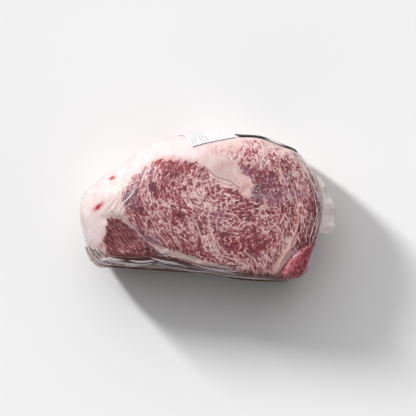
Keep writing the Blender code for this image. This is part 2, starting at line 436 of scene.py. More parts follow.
        oval = np.hypot(half_length * p, half_depth * q) / np.maximum(radius, 1e-9)
        drawn_in = lean * (np.maximum(level - widest, 0.0) / (1 - widest)) ** 2
        drawn_in += foot * (np.maximum(widest - level, 0.0) / (1 + widest)) ** 2
        rim = self.outline_distance(bearing) - drawn_in
        rim += self.wall_lumps(bearing, level) * step_up(share, self.lumps_from, 1.0)
        reach = share * (oval + (rim - oval) * share**2)
        x = self.middle[0] + reach * np.cos(bearing)
        y = self.middle[1] + reach * np.sin(bearing)

        z = self.height / 2 * (1 + level)
        relief = self.crown * (1 - share**2) + self.face_relief(np.stack([x, y], 1))
        z += step_up(level, *self.top_levels) * relief
        return np.stack([x, y, np.maximum(z - self.flat_cut, 0.0)], 1)

    def mesh(self, name: str, spaces: tuple[int, int, int], fine_top: bool = False) -> bpy.types.Mesh:
        """Makes a mesh of the form, in the form's own plan.

        Args:
            name: The mesh's name.
            spaces: Spaces of the box along X, Y and Z.
            fine_top: Whether the upper face has twice as many spaces each way.

        Returns:
            The mesh.
        """
        shape = bmesh.new()
        bmesh.ops.create_cube(shape, size=2)
        for axis, count in enumerate(spaces):
            along = [e for e in shape.edges if abs(e.verts[0].co[axis] - e.verts[1].co[axis]) > 1e-6]
            bmesh.ops.subdivide_edges(shape, edges=along, cuts=count - 1, use_grid_fill=True)
        if fine_top:
            top = [e for e in shape.edges if min(v.co.z for v in e.verts) > 1 - 1e-6]
            bmesh.ops.subdivide_edges(shape, edges=top, cuts=1, use_grid_fill=True)
        mesh = bpy.data.meshes.new(name)
        shape.to_mesh(mesh)
        shape.free()
        move_points(mesh, self.points(mesh_points(mesh)))
        return mesh


@dataclass(frozen=True)
class Plan:
    """The roast's form and how far the part's origin lies from the middle of its plan."""

    form: RoastForm
    shift: tuple[float, float]

    @classmethod
    def from_frame(cls, form: RoastForm) -> "Plan":
        """Finds the shift by setting the form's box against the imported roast's box."""
        coarse = form.mesh("measure", (44, 28, 12))
        points = mesh_points(coarse)[:, :2]
        bpy.data.meshes.remove(coarse)
        low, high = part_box("bagged_beef")
        centre = (np.array(low)[:2] + np.array(high)[:2]) / 2
        return cls(form, tuple(centre - (points.min(0) + points.max(0)) / 2))

    def to_frame(self, points: Points) -> Points:
        """Moves rows of X, Y and Z from the form's plan to the row frame."""
        return points + (*self.shift, 0.0)


# What lies where on the cut face, in millimetres


@dataclass(frozen=True)
class GrainMark:
    """The way that the fat's flecks run at one place of the cut face."""

    place: tuple[float, float]
    angle: float  # degrees anticlockwise from +X, 0 to 180


@dataclass(frozen=True)
class Grain:
    """Smooth coordinates across and along the flecks, so that noise in them follows the muscles."""

    marks: tuple[GrainMark, ...]
    reach: float = 17.0  # how far one mark is felt
    stretch: float = 3.0  # how much longer than wide the flecks are
    step: float = 2.0
    half_length: float = 180.0
    half_depth: float = 130.0

    def flow(self, x: Points, y: Points) -> tuple[Points, Points]:
        """The flecks' direction on a grid, as cosine and sine."""
        total = np.full(x.shape, 1e-9)
        cosine, sine = np.zeros(x.shape), np.full(x.shape, 1e-9)
        for mark in self.marks:
            distance = (x - mark.place[0]) ** 2 + (y - mark.place[1]) ** 2
            weight = np.exp(-distance / (2 * self.reach**2)) + 1e-6
            cosine += weight * math.cos(math.radians(mark.angle))
            sine += weight * math.sin(math.radians(mark.angle))
            total += weight
        length = np.hypot(cosine, sine)
        return cosine / length, sine / length

    def potential(self, slope_x: Points, slope_y: Points, x: Points, y: Points) -> Points:
        """The height field whose slopes come closest to the ones given, by Fourier transform."""
        mean_x, mean_y = slope_x.mean(), slope_y.mean()
        edge = np.cos(np.pi * x / (2 * self.half_length)) * np.cos(np.pi * y / (2 * self.half_depth))
        fade = step_up(edge, 0.0, 0.25)
        rest_x, rest_y = (slope_x - mean_x) * fade, (slope_y - mean_y) * fade
        fx = np.fft.fftfreq(x.shape[1], self.step)[None, :] * 2 * np.pi
        fy = np.fft.fftfreq(x.shape[0], self.step)[:, None] * 2 * np.pi
        square = fx**2 + fy**2
        square[0, 0] = 1.0
        waves = -1j * (fx * np.fft.fft2(rest_x) + fy * np.fft.fft2(rest_y)) / square
        return mean_x * x + mean_y * y + np.real(np.fft.ifft2(waves))

    def coordinates(self, places: Points) -> Points:
        """Coordinates across and along the flecks.

        Args:
            places: Rows of X and Y in millimetres.

        Returns:
            Rows of two numbers in millimetres, with the way along divided by the stretch.
        """
        x, y = np.meshgrid(
            np.arange(-self.half_length, self.half_length, self.step),
            np.arange(-self.half_depth, self.half_depth, self.step),
        )
        cosine, sine = self.flow(x, y)
        fields = (self.potential(-sine, cosine, x, y), self.potential(cosine, sine, x, y) / self.stretch)
        column = (places[:, 0] + self.half_length) / self.step
        row = (places[:, 1] + self.half_depth) / self.step
        left, low = column.astype(int), row.astype(int)
        across, up = column - left, row - low
        found = [
            (values[low, left] * (1 - across) + values[low, left + 1] * across) * (1 - up)
            + (values[low + 1, left] * (1 - across) + values[low + 1, left + 1] * across) * up
            for values in fields
        ]
        return np.stack(found, 1)


@dataclass(frozen=True)
class Patch:
    """A soft round or oval patch on the cut face."""

    place: tuple[float, float]
    reach: tuple[float, float]
    strength: float = 1.0
    turn: float = 0.0  # degrees anticlockwise

    def cover(self, places: Points) -> Points:
        """How strongly the patch shows at rows of X and Y."""
        angle = math.radians(self.turn)
        offset = places - self.place
        along = offset[:, 0] * math.cos(angle) + offset[:, 1] * math.sin(angle)
        across = offset[:, 1] * math.cos(angle) - offset[:, 0] * math.sin(angle)
        return self.strength * np.exp(-((along / self.reach[0]) ** 2) - (across / self.reach[1]) ** 2)


@dataclass(frozen=True)
class Seam:
    """A line of fat or sinew on the cut face, with its half-width at each point of its route."""

    route: tuple[tuple[float, float], ...]
    half_widths: tuple[float, ...]
    blend: float = 10.0  # mm over which one half-width turns into the next

    def ratio(self, places: Points) -> Points:
        """Signed distance to the seam over its half-width there, so that 1 is its edge."""
        route = np.array(self.route)
        nearest = np.argmin([np.hypot(*(places - point).T) for point in route], 0)
        spread = 2 * self.blend**2
        weights = np.stack([np.exp(-(((places - point) ** 2).sum(1)) / spread) for point in route]) + 1e-12
        widths = (weights * np.array(self.half_widths)[:, None]).sum(0) / weights.sum(0)
        widths = np.where(weights.sum(0) < 1e-9, np.array(self.half_widths)[nearest], widths)
        return route_distance(places, route) / widths


@dataclass(frozen=True)
class CutFace:
    """Muscles, fat and marks of the cut face, which run down through the roast with the grain."""

    grain: Grain = Grain(
        (
            GrainMark((-76, 4), 62), GrainMark((-49, 35), 55), GrainMark((-22, 36), 22), GrainMark((-3, 15), 90),
            GrainMark((-37, -5), 106), GrainMark((-56, -24), 112), GrainMark((-27, -30), 120),
            GrainMark((-3, -33), 98), GrainMark((-86, -32), 152), GrainMark((-60, -50), 158),
            GrainMark((22, 0), 132), GrainMark((40, 2), 150), GrainMark((42, -34), 122), GrainMark((66, 2), 130),
            GrainMark((66, -38), 64), GrainMark((92, -5), 82), GrainMark((97, -28), 66), GrainMark((45, 46), 148),
            GrainMark((75, 34), 122), GrainMark((85, -52), 55), GrainMark((20, -60), 165),
        )
    )
    # Outlines of the lean: the eye muscle with the cap and the chine muscle, then the tail muscle
    main_lean: tuple[tuple[float, float], ...] = (
        (-83.0, 10.0), (-75.6, 24.0), (-63.0, 35.7), (-51.3, 43.4), (-43.5, 44.9), (-31.8, 43.4),
        (-20.0, 42.5), (-11.0, 41.5), (-2.7, 35.4), (4.1, 25.6), (12.3, 18.6), (20.5, 17.0),
        (29.0, 14.3), (35.5, 8.1), (41.0, 7.5), (44.3, 13.5), (44.0, 19.0), (41.0, 25.0), (35.0, 32.0),
        (30.0, 39.0), (23.0, 43.5), (16.0, 48.0), (7.0, 51.0), (4.0, 56.0), (16.8, 60.0), (31.4, 63.0), (52.8, 64.5),
        (75.1, 58.0), (93.0, 49.0), (108.0, 34.0), (118.0, 14.3), (125.0, -10.1), (120.0, -34.4),
        (115.0, -60.0), (100.0, -80.0), (70.3, -90.0), (30.0, -85.0), (25.0, -68.5), (16.8, -60.7),
        (7.1, -57.0), (-7.5, -52.5), (-28.9, -46.0), (-44.1, -42.2), (-56.5, -35.6), (-66.5, -30.0),
        (-76.0, -19.6), (-80.5, -12.0), (-82.0, -2.0),
    )
    tail_lean: tuple[tuple[float, float], ...] = (
        (-99.5, -14.0), (-87.0, -14.6), (-74.0, -23.4), (-64.0, -31.2), (-54.5, -37.6), (-45.0, -43.8),
        (-36.0, -50.5), (-27.0, -54.5), (-17.0, -58.5), (-7.5, -62.0), (2.0, -66.0), (12.0, -70.0),
        (20.0, -85.0), (-104.0, -85.0), (-102.5, -50.0), (-101.9, -44.0), (-103.8, -35.0), (-100.5, -27.0),
    )
    chine_seam: Seam = Seam(
        (
            (80.0, 24.0), (85.3, 12.0), (88.0, 0.0), (88.6, -16.9),
            (84.6, -32.4), (78.6, -44.0), (70.8, -56.0), (65.5, -68.0),
        ),
        (0.8, 0.9, 0.8, 1.0, 1.8, 3.2, 4.3, 4.6),
    )
    corner_seam: Seam = Seam(
        ((67.0, -71.5), (74.1, -61.0), (83.0, -49.0), (91.0, -42.0), (101.0, -36.0)),
        (1.0, 1.0, 1.1, 1.1, 0.8),
    )
    beige_band: Seam = Seam(
        ((-58.0, -37.5), (-46.0, -44.5), (-30.0, -49.5), (-17.3, -53.5), (-4.0, -58.5), (8.0, -64.0)),
        (1.2, 1.6, 2.8, 3.0, 2.8, 1.6),
    )
    # Thin seams of fat inside the muscles
    veins: tuple[Seam, ...] = (
        Seam(((-4.3, 13.3), (-5.4, 2.6)), (0.7, 0.6)),
        Seam(((3.4, 1.0), (0.5, -11.7), (1.6, -22.5), (5.4, -33.3), (8.7, -43.0)), (1.0, 1.5, 1.7, 1.5, 0.9)),
        Seam(((-16.0, -11.7), (-11.6, -17.0), (-6.5, -32.0), (-1.9, -45.0)), (0.8, 1.2, 1.2, 0.9)),
        Seam(((-57.1, -11.7), (-50.5, -24.6), (-40.8, -38.7)), (0.7, 0.8, 0.8)),
        Seam(((-61.3, -30.0), (-60.6, -20.0), (-59.8, -11.7)), (1.0, 0.9, 0.6)),
        Seam(((-33.2, -20.4), (-31.1, -32.2), (-25.7, -45.0)), (0.6, 0.8, 0.7)),
        Seam(((61.5, -15.9), (68.3, -21.4), (72.2, -28.5), (75.2, -40.9)), (0.8, 0.9, 0.8, 0.8)),
        Seam(((50.9, -5.2), (56.0, -1.5), (60.0, -3.0)), (1.6, 2.2, 1.2)),
        Seam(((-20.0, 33.0), (-13.0, 22.0), (-12.0, 12.0)), (0.5, 0.9, 0.6)),
        Seam(((-62.0, 32.0), (-58.0, 24.0), (-59.0, 14.0)), (0.5, 0.8, 0.6)),
        Seam(((-45.0, -8.0), (-38.0, -16.0), (-36.0, -27.0), (-31.0, -38.0)), (0.6, 0.9, 0.9, 0.6)),
        Seam(((22.0, -8.0), (30.0, -13.0), (36.0, -22.0)), (0.6, 0.9, 0.6)),
        Seam(((66.0, 44.0), (72.0, 34.0), (76.0, 22.0)), (0.5, 0.8, 0.6)),
        Seam(((102.0, -8.0), (99.0, -20.0), (95.0, -33.0)), (0.6, 0.8, 0.6)),
        Seam(((108.0, -3.0), (105.5, -16.0), (100.0, -31.0)), (0.6, 0.7, 0.6)),
        Seam(((36.0, -46.0), (44.0, -52.0), (50.0, -60.0)), (0.8, 1.2, 1.0)),
        Seam(((15.0, -50.0), (24.0, -53.0), (34.0, -58.0)), (0.8, 1.2, 0.8)),
    )
    # Creases in the fat, where the shade in them is painted dark
    shaded_creases: tuple[Seam, ...] = (
        Seam(((-4.0, 37.5), (2.5, 32.5), (8.0, 27.6), (13.0, 25.5)), (0.45, 0.8, 0.8, 0.35)),
        Seam(((14.0, 25.5), (20.0, 24.3), (25.5, 20.8), (30.4, 16.3)), (0.3, 0.7, 0.9, 0.4)),
        Seam(((10.0, 23.0), (17.0, 20.5), (24.0, 18.6)), (0.3, 0.6, 0.35)),
        Seam(((-97.0, -3.0), (-93.0, -8.0), (-90.0, -13.0)), (0.3, 0.5, 0.3)),
        Seam(((-50.0, -50.5), (-36.0, -53.5), (-20.0, -56.5), (-4.0, -60.5)), (0.4, 1.2, 1.5, 0.7)),
        Seam(((-66.0, -44.0), (-56.0, -44.5), (-46.0, -47.5)), (0.3, 0.9, 0.4)),
        Seam(((-8.0, -60.0), (10.0, -63.5), (26.0, -67.0), (42.0, -69.0)), (0.5, 1.1, 0.8, 0.5)),
        Seam(((2.0, -66.0), (24.0, -70.0), (50.0, -72.5), (72.0, -73.0)), (0.6, 1.2, 1.0, 0.8)),
        Seam(((12.0, -58.0), (22.0, -60.0), (30.0, -59.0)), (0.3, 0.9, 0.3)),
        Seam(((88.6, -22.0), (85.6, -31.0), (81.0, -40.0)), (0.4, 0.6, 0.3)),
    )
    # Dark and red spots, and hazy purple patches that are a painted film sheen on the lean and painted shade on the
    # fat
    dark_spots: tuple[Patch, ...] = (
        Patch((-53.6, 17.6), (3.6, 4.6), 1.3), Patch((-50.5, 10.5), (2.0, 4.2), 1.0),
        Patch((-27.0, -9.6), (3.2, 3.0), 1.3), Patch((62.5, 30.8), (2.6, 2.2), 0.9),
        Patch((-8.0, -24.0), (3.0, 7.0), 0.75, 15), Patch((30.0, 11.0), (6.0, 1.8), 0.9, -35),
        Patch((22.0, 13.5), (2.0, 3.0), 0.8, 20), Patch((48.0, 13.0), (4.5, 7.0), 0.75, -20),
        Patch((38.0, 34.0), (5.0, 4.0), 0.55, -30), Patch((14.0, -28.0), (7.0, 4.0), 0.5),
        Patch((-33.0, 30.0), (7.0, 3.0), 0.5, 40), Patch((-95.0, -30.0), (8.0, 12.0), 0.35),
        Patch((-62.0, -53.5), (40.0, 3.6), 0.75, -2), Patch((-52.0, -46.0), (9.0, 3.5), 0.8, -22),
        Patch((-54.0, -37.5), (11.0, 1.8), 1.0, -32), Patch((-34.0, -50.0), (14.0, 2.2), 0.9, -20),
        Patch((-12.0, -58.5), (12.0, 1.8), 0.7, -20), Patch((-20.0, -62.0), (22.0, 2.4), 0.9, -10),
        Patch((89.4, -19.0), (0.9, 9.0), 1.0, 5), Patch((87.2, -27.0), (0.9, 4.0), 1.0, -30),
    )
    red_spots: tuple[Patch, ...] = (
        Patch((-36.7, 8.4), (6.0, 3.5)), Patch((-45.0, 21.0), (2.0, 6.0), 0.8, -25),
        Patch((-28.0, 36.0), (13.0, 5.0), 0.75, -20), Patch((-48.0, 41.0), (10.0, 3.0), 0.5, 20),
        Patch((-107.6, -2.6), (5.6, 1.9), 2.0, 42), Patch((-94.1, 25.9), (3.0, 1.6), 2.4, 30),
        Patch((-105.8, -41.2), (2.4, 3.0), 1.1), Patch((-113.0, 9.0), (3.0, 0.8), 0.5, 35),
        Patch((64.0, -38.0), (16.0, 12.0), 0.40), Patch((30.0, -40.0), (14.0, 10.0), 0.30),
        Patch((22.0, 55.0), (13.0, 4.0), 0.50, 10), Patch((102.0, 2.0), (8.0, 14.0), 0.15),
        Patch((93.0, -56.0), (10.0, 9.0), 0.75, 45),
    )
    sheen_and_shade_patches: tuple[Patch, ...] = (
        Patch((55.7, 7.5), (16.0, 5.0), 1.0, -10), Patch((84.0, 11.0), (13.0, 4.0), 1.0, -10),
        Patch((-60.0, 31.0), (7.0, 5.0), 0.4, 40), Patch((-72.0, 3.0), (6.0, 8.0), 0.5),
        Patch((-50.0, -34.0), (10.0, 5.0), 0.6, -40), Patch((-19.2, -17.8), (7.0, 5.0), 0.4),
        Patch((12.0, -12.0), (7.0, 10.0), 0.6), Patch((34.0, 33.5), (6.0, 4.0), 1.1, -30),
        Patch((28.0, 24.0), (4.0, 4.0), 0.5), Patch((60.0, 22.0), (10.0, 8.0), 0.5),
        Patch((16.0, 36.0), (12.0, 6.0), 0.35, -40), Patch((50.0, -50.0), (9.0, 4.0), 0.5),
        Patch((10.0, -45.0), (10.0, 4.0), 0.5), Patch((-73.0, -22.0), (17.0, 3.5), 0.9, -40),
        Patch((-50.0, -41.0), (14.0, 3.0), 0.9, -30), Patch((19.0, 25.0), (10.0, 3.5), 0.5, -35),
    )
    # Tan patches on the fat: painted shade between the film's wrinkles on the left end, elsewhere a tone of the
    # fat's own
    tan_and_shade_patches: tuple[Patch, ...] = (
        Patch((-91.0, 5.0), (9.0, 15.0), 0.7, -30), Patch((-80.0, 20.0), (8.0, 5.0), 0.6, 40),
        Patch((24.0, 24.0), (15.0, 8.0), 0.4, -35), Patch((38.0, 13.0), (5.0, 7.0), 0.4),
        Patch((-92.0, -12.0), (6.0, 3.0), 0.6), Patch((-74.0, -22.0), (14.0, 3.0), 0.8, -40),
        Patch((-28.0, -50.0), (30.0, 5.0), 1.0, -20),
    )
    # Parts where the fat is pink and mottled
    blushes: tuple[Patch, ...] = (
        Patch((22.0, 28.0), (24.0, 12.0), 1.0, -48), Patch((37.0, 15.0), (9.0, 12.0), 0.9, -30),
        Patch((-74.0, -22.0), (16.0, 4.0), 0.7, -40), Patch((-30.0, 47.0), (20.0, 3.0), 0.4, -5),
    )
    # Parts where fat outweighs muscle, and a painted highlight along the corner seam
    pale: tuple[Patch, ...] = (
        Patch((35.0, 60.5), (38.0, 7.0), 1.15, -4), Patch((80.0, 50.0), (22.0, 5.0), 1.0, -30),
        Patch((12.0, 53.0), (12.0, 8.0), 0.9), Patch((55.0, 42.0), (30.0, 10.0), 0.45, -12),
        Patch((-10.0, 20.0), (9.0, 14.0), 0.40, 0), Patch((-56.0, 36.0), (12.0, 5.0), 0.35, 30),
        Patch((50.0, 22.0), (7.0, 6.0), 0.3), Patch((-75.0, -14.0), (6.0, 10.0), 0.35, 30),
        Patch((-56.0, 6.0), (10.0, 5.0), 0.35, 0), Patch((45.0, -55.0), (22.0, 8.0), 0.38),
        Patch((6.0, -40.0), (7.0, 14.0), 0.35), Patch((92.0, -22.0), (5.0, 14.0), 0.35),
        # The thin patch at (85.5, -49.5), along the corner seam, is a painted highlight
        Patch((85.5, -49.5), (6.0, 1.2), 0.5, 48), Patch((30.0, -20.0), (10.0, 7.0), 0.25),
        Patch((-66.0, 4.0), (12.0, 16.0), -0.60), Patch((66.0, -6.0), (15.0, 14.0), -0.22),
    )
    edge_reach: float = 1.5  # how far from the fat the flecks stay thin
    edge_thinness: float = 0.5
    # How far a muscle wanders for each millimetre down, along X and Y, and the waves that decide it
    wander: tuple[float, float] = (0.05, 0.06)
    wander_waves: tuple[float, float] = (31.0, 43.0)
    grain_height: float = 9.0  # height that counts as one millimetre across the grain
    blood_heights: tuple[float, float] = (70.0, 84.0)  # the red spots fade in between these
    far: float = 9.0  # beyond this many half-widths a seam isn't told apart

    def dress(self, mesh: bpy.types.Mesh, places: Points) -> None:
        """Stores what the beef's material needs to know at each vertex.

        Args:
            mesh: The beef's mesh.
            places: The vertices in the form's plan, in metres.
        """
        flat, z = places[:, :2] / MM, places[:, 2] / MM
        # The muscles wander a little on their way down, so the lower face isn't a copy of the upper.
        down = (z.max() - z)[:, None]
        waves = np.sin(flat[:, 1] / self.wander_waves[0]), np.sin(flat[:, 0] / self.wander_waves[1] + 1)
        flat = flat + down * np.stack([share * wave for share, wave in zip(self.wander, waves)], 1)
        grain = self.grain.coordinates(flat)
        add_attribute(mesh, "grain", np.column_stack([grain, z / self.grain_height]))
        tail_depth = depth_in(flat, np.array(self.tail_lean))
        lean = np.maximum(depth_in(flat, np.array(self.main_lean)), tail_depth)
        add_attribute(mesh, "layers", np.column_stack([-lean, tail_depth, self.chine_seam.ratio(flat)]))
        corner, beige = self.corner_seam.ratio(flat), self.beige_band.ratio(flat)
        vein = np.min([np.abs(seam.ratio(flat)) for seam in self.veins], 0)
        add_attribute(mesh, "seams", np.column_stack([corner, np.minimum(vein, self.far), beige]))
        tan = sum(patch.cover(flat) for patch in self.tan_and_shade_patches)
        blush = sum(patch.cover(flat) for patch in self.blushes)
        spots = (self.dark_spots, self.red_spots, self.sheen_and_shade_patches)
        tones = [sum(patch.cover(flat) for patch in kind) for kind in spots]
        blood = tones[1] * step_up(z, *self.blood_heights)
        add_attribute(mesh, "fat_marks", np.column_stack([tan, blush, blood]))
        add_attribute(mesh, "tones", np.column_stack(tones))
        thin = np.exp(-((np.maximum(lean, 0.0) / self.edge_reach) ** 2)) * self.edge_thinness
        thin = thin + sum(patch.cover(flat) for patch in self.pale)
        normals = mesh_points(mesh, "normal")
        # The rib side faces the front and ends before the chine
        rib = step_up(-normals[:, 1], 0.25, 0.75) * step_up(places[:, 0], 0.085, 0.055)
        # The material paints shade along these creases
        crease = np.min([np.abs(seam.ratio(flat)) for seam in self.shaded_creases], 0)
        add_attribute(mesh, "body", np.column_stack([thin, rib * (1 + z / 1000), np.minimum(crease, self.far)]))


# Finishes


@dataclass(frozen=True)
class RawBeef:
    """Freshly cut, well marbled raw beef with its fat: matt moist lean under clinging film."""

    name: str = "raw_beef_knife_cut"
    # Noise scales across the grain, in waves a millimetre
    broad_scale: float = 0.20
    coarse_scale: float = 0.46
    fine_scale: float = 1.10
    bundle_scale: float = 0.40
    patch_scale: float = 0.07
    # How flecks turn into colour: steepness, and where on the ramp the middle lies
    gain: float = 3.5
    middle: float = 0.49
    roughness: float = 0.45
    refraction: float = 1.38
    reflection: float = 0.25
    # From pure fat to pure muscle
    marbling: dict[float, str] = field(
        default_factory=lambda: {
            0.05: "#EBD3CD",
            0.28: "#D0A6A4",
            0.43: "#AC5662",
            0.53: "#8C182C",
            0.70: "#6C0A20",
            0.96: "#400410",
        }
    )
    fat: dict[float, str] = field(default_factory=lambda: {0.28: "#E0C5C3", 0.5: "#E7D3D2", 0.72: "#EDE0E0"})

    def material(self) -> bpy.types.Material:
        """Builds the material, which reads the attributes that CutFace stores."""
        material, add = new_material(self.name)
        grain = add(Step.STORED, attribute_name="grain")
        marks: Inputs = {}
        for stored, names in STORED_MARKS.items():
            marks.update(zip(names, add(Step.SPLIT, add(Step.STORED, attribute_name=stored)).node.outputs))
        marks["ragged"] = add(Step.NOISE, grain, 0.25, 4.0, 0.65)
        marks["wobble"] = add(Step.MULTIPLY_ADD, marks["ragged"], 1.4, -0.7)
        marks["fine"] = add(Step.NOISE, grain, self.fine_scale, 2.0, 0.65, 0.7)
        marks["in_tail"] = add(Step.EASE, marks["tail_depth"], -0.4, 0.6)
        marks["in_corner"] = add(Step.EASE, marks["corner"], 0.6, -0.6)

        flecks = self.flecks(add, grain, marks)
        contrast = add(Step.MULTIPLY_ADD, add(Step.SUBTRACT, flecks, 0.5), self.gain, self.middle)
        for mark, weight in (("in_tail", 0.07), ("in_corner", 0.04), ("dark", 0.50), ("red", 0.08), ("thin", -0.30)):
            contrast = add(Step.MULTIPLY_ADD, marks[mark], weight, contrast)
        colour = self.lean_colour(add, grain, marks, contrast)
        colour = self.seams(add, grain, marks, colour)
        colour = self.fat_over(add, grain, marks, flecks, colour)
        colour = self.rib_side(add, grain, marks, colour)
        height = add(Step.MULTIPLY_ADD, contrast, -0.6, add(Step.MULTIPLY, marks["fine"], 0.5))
        bump = add(Step.BUMP, 0.3, 0.0006, height)
        add(Step.SURFACE, add(Step.BODY, colour, self.roughness, self.refraction, self.reflection, bump))
        return material

    def flecks(self, add: AddNode, grain: Any, marks: Inputs) -> Any:
        """Muscle against the fat inside it, where high is muscle: noise of three sizes, patches and a net."""
        broad = add(Step.NOISE, grain, self.broad_scale, 2.0, 0.55)
        coarse = add(Step.NOISE, grain, self.coarse_scale, 2.0, 0.6, 0.9)
        patches = add(Step.NOISE, grain, self.patch_scale, 3.0, 0.55)
        shake = add(Step.NOISE_VECTOR, grain, 0.9, 2.0, 0.55)
        shaken = add(Step.VECTOR_MULTIPLY_ADD, shake, (1.3, 1.3, 1.3), grain)
        net = add(Step.EASE, add(Step.CELLS, shaken, self.bundle_scale), 0.0, 0.16)
        flecks = add(Step.MULTIPLY, broad, 0.22)
        for part, weight in (
            (coarse, 0.30),
            (marks["fine"], 0.48),
            (add(Step.SUBTRACT, patches, 0.5), 0.30),
            (add(Step.SUBTRACT, net, 0.8), 0.09),
        ):
            flecks = add(Step.MULTIPLY_ADD, part, weight, flecks)
        return flecks

    def lean_colour(self, add: AddNode, grain: Any, marks: Inputs, contrast: Any) -> Any:
        """The marbled lean, with threads of fat, red fibres, muscles of other tones, stains and a painted lilac film
        sheen.
        """
        colour = add(Step.RAMP, contrast)
        set_stops(colour, self.marbling)
        threads = add(Step.ABSOLUTE, add(Step.SUBTRACT, add(Step.NOISE, grain, 0.70, 2.0, 0.5, 1.4), 0.5))
        fibres = add(Step.EASE, add(Step.NOISE, grain, 1.7, 1.0, 0.55), 0.50, 0.60, 0.0, 0.34)
        warmth = add(Step.NOISE, grain, 0.045, 2.0, 0.55)
        wine = add(Step.NOISE, grain, 0.55, 1.0, 0.55)
        muscle = add(Step.EASE, contrast, 0.25, 0.6)
        return paint(
            add,
            colour,
            (Step.MIX, add(Step.EASE, threads, 0.035, 0.008), 0.32, "#DDB4B0"),
            (Step.MIX, fibres, add(Step.EASE, contrast, 0.55, 0.35), "#A84858"),
            (Step.TINT, add(Step.EASE, warmth, 0.42, 0.62, 0.0, 0.6), muscle, "#F0B0B0"),
            (Step.TINT, add(Step.EASE, warmth, 0.50, 0.34, 0.1, 0.6), muscle, "#D4C4DC"),
            (Step.MIX, add(Step.EASE, wine, 0.54, 0.68, 0.0, 0.45), muscle, "#60243F"),
            (Step.MIX, add(Step.EASE, wine, 0.46, 0.32, 0.0, 0.45), muscle, "#AE3644"),
            (Step.TINT, marks["in_tail"], 0.85, "#C8A6A6"),
            (Step.MIX, marks["in_corner"], 0.50, "#BC2846"),
            (Step.MIX, marks["dark"], 0.75, "#600C1C"),
            (Step.MIX, marks["red"], 0.45, "#A01C2A"),
            # Painted lilac film sheen in the hazy patches
            (Step.MIX, marks["haze"], 0.42, "#9E7A98"),
        )

    def seams(self, add: AddNode, grain: Any, marks: Inputs, colour: Any) -> Any:
        """Fat and sinew that run between the muscles, the broad ones with lines along them."""
        for mark, tone, strength in (("vein", "#DDBDB3", 0.62), ("corner", "#6B1A38", 0.85)):
            line = add(Step.ADD, add(Step.ABSOLUTE, marks[mark]), marks["wobble"])
            colour = paint(add, colour, (Step.MIX, add(Step.EASE, line, 1.25, 0.35), strength, tone))
        for mark, tone, shade, strength in (
            ("chine", "#E4C2B7", "#AA6C6A", 0.90),
            ("beige", "#DCB4A9", "#90665F", 0.92),
        ):
            place = add(Step.JOIN, marks[mark], add(Step.SPLIT, grain).node.outputs[1])
            lines = add(Step.NOISE, add(Step.VECTOR_MULTIPLY, place, (3.6, 0.16, 0.0)), 1.0, 2.0, 0.55)
            streaked = add(Step.MIX, add(Step.EASE, lines, 0.40, 0.62), linear(tone), linear(shade))
            line = add(Step.MULTIPLY_ADD, marks["wobble"], 0.45, add(Step.ABSOLUTE, marks[mark]))
            cover = add(Step.MULTIPLY, add(Step.EASE, line, 1.15, 0.75), strength)
            colour = add(Step.MIX, cover, colour, streaked)
        return colour

    def fat_over(self, add: AddNode, grain: Any, marks: Inputs, flecks: Any, colour: Any) -> Any:
        """Lays the fat cap, the wedge and the tail of fat over the lean, with their stains, painted shade in their
        creases and a painted highlight beside these.
        """
        tone = add(Step.RAMP, add(Step.NOISE, grain, 0.16, 5.0, 0.6))
        set_stops(tone, self.fat)
        ragged, blush = marks["ragged"], marks["blush"]
        edge = add(Step.MULTIPLY_ADD, add(Step.SUBTRACT, ragged, 0.5), 6.0, marks["fat_depth"])
        edge = add(Step.MULTIPLY_ADD, add(Step.SUBTRACT, flecks, 0.5), -6.0, edge)
        frayed = add(Step.MULTIPLY, add(Step.SUBTRACT, ragged, 0.52), blush)
        edge = add(Step.MULTIPLY_ADD, frayed, 16.0, edge)
        mottle = add(Step.NOISE, grain, 0.30, 4.0, 0.65)
        specks = add(Step.EASE, add(Step.NOISE, grain, 1.1, 2.0, 0.6), 0.58, 0.68)
        # Painted shade in the creases, and a painted highlight along their side
        wavy = add(Step.MULTIPLY_ADD, marks["wobble"], 0.6, marks["crease"])
        fold = add(Step.EASE, wavy, 2.6, 0.0)
        painted_crease_highlight = add(Step.EASE, add(Step.ABSOLUTE, add(Step.SUBTRACT, wavy, 2.9)), 1.1, 0.3)
        fat = paint(
            add,
            add(Step.MIX, add(Step.EASE, edge, 5.0, 0.2, 0.0, 0.6), tone, linear("#DDB0A6")),
            # Tan: painted shade between the film's wrinkles on the left end, elsewhere the fat's own tone
            (Step.MIX, marks["tan"], 0.75, "#D8BCB0"),
            (Step.MIX, blush, add(Step.EASE, mottle, 0.40, 0.62, 0.25, 0.85), "#D49E98"),
            (Step.MIX, add(Step.MULTIPLY, specks, blush), 0.55, "#B4625C"),
            (Step.MIX, marks["dark"], 0.65, "#7C5450"),
            (Step.MIX, marks["blood"], 0.80, "#B0202E"),
            # Painted grey shade on the fat in the hazy patches
            (Step.MIX, marks["haze"], 0.45, "#AC9290"),
            (Step.MIX, painted_crease_highlight, 0.30, "#F2E4DE"),
            (Step.MIX, fold, 0.55, "#9A6A5E"),
        )
        # Painted crease shade where the creases cross the lean
        lean_with_painted_crease_shade = paint(add, colour, (Step.MIX, fold, 0.8, "#4A0E1A"))
        return add(Step.MIX, add(Step.EASE, edge, -0.5, 0.7), lean_with_painted_crease_shade, fat)

    def rib_side(self, add: AddNode, grain: Any, marks: Inputs, colour: Any) -> Any:
        """Lays the rib side over it: brown-red meat under its silvery skin, crossed by the marks of the ribs."""
        height = add(Step.SPLIT, grain).node.outputs[2]
        across = add(Step.SINE, add(Step.MULTIPLY_ADD, height, 0.9, add(Step.MULTIPLY, marks["ragged"], 2.0)))
        tone = add(Step.MIX, add(Step.EASE, across, -0.6, 0.8), linear("#7E3C38"), linear("#A2716A"))
        tone = add(Step.MIX, add(Step.EASE, marks["fine"], 0.35, 0.7), tone, linear("#5C2A2B"))
        return add(Step.MIX, add(Step.MULTIPLY, marks["rib"], 0.62), colour, tone)


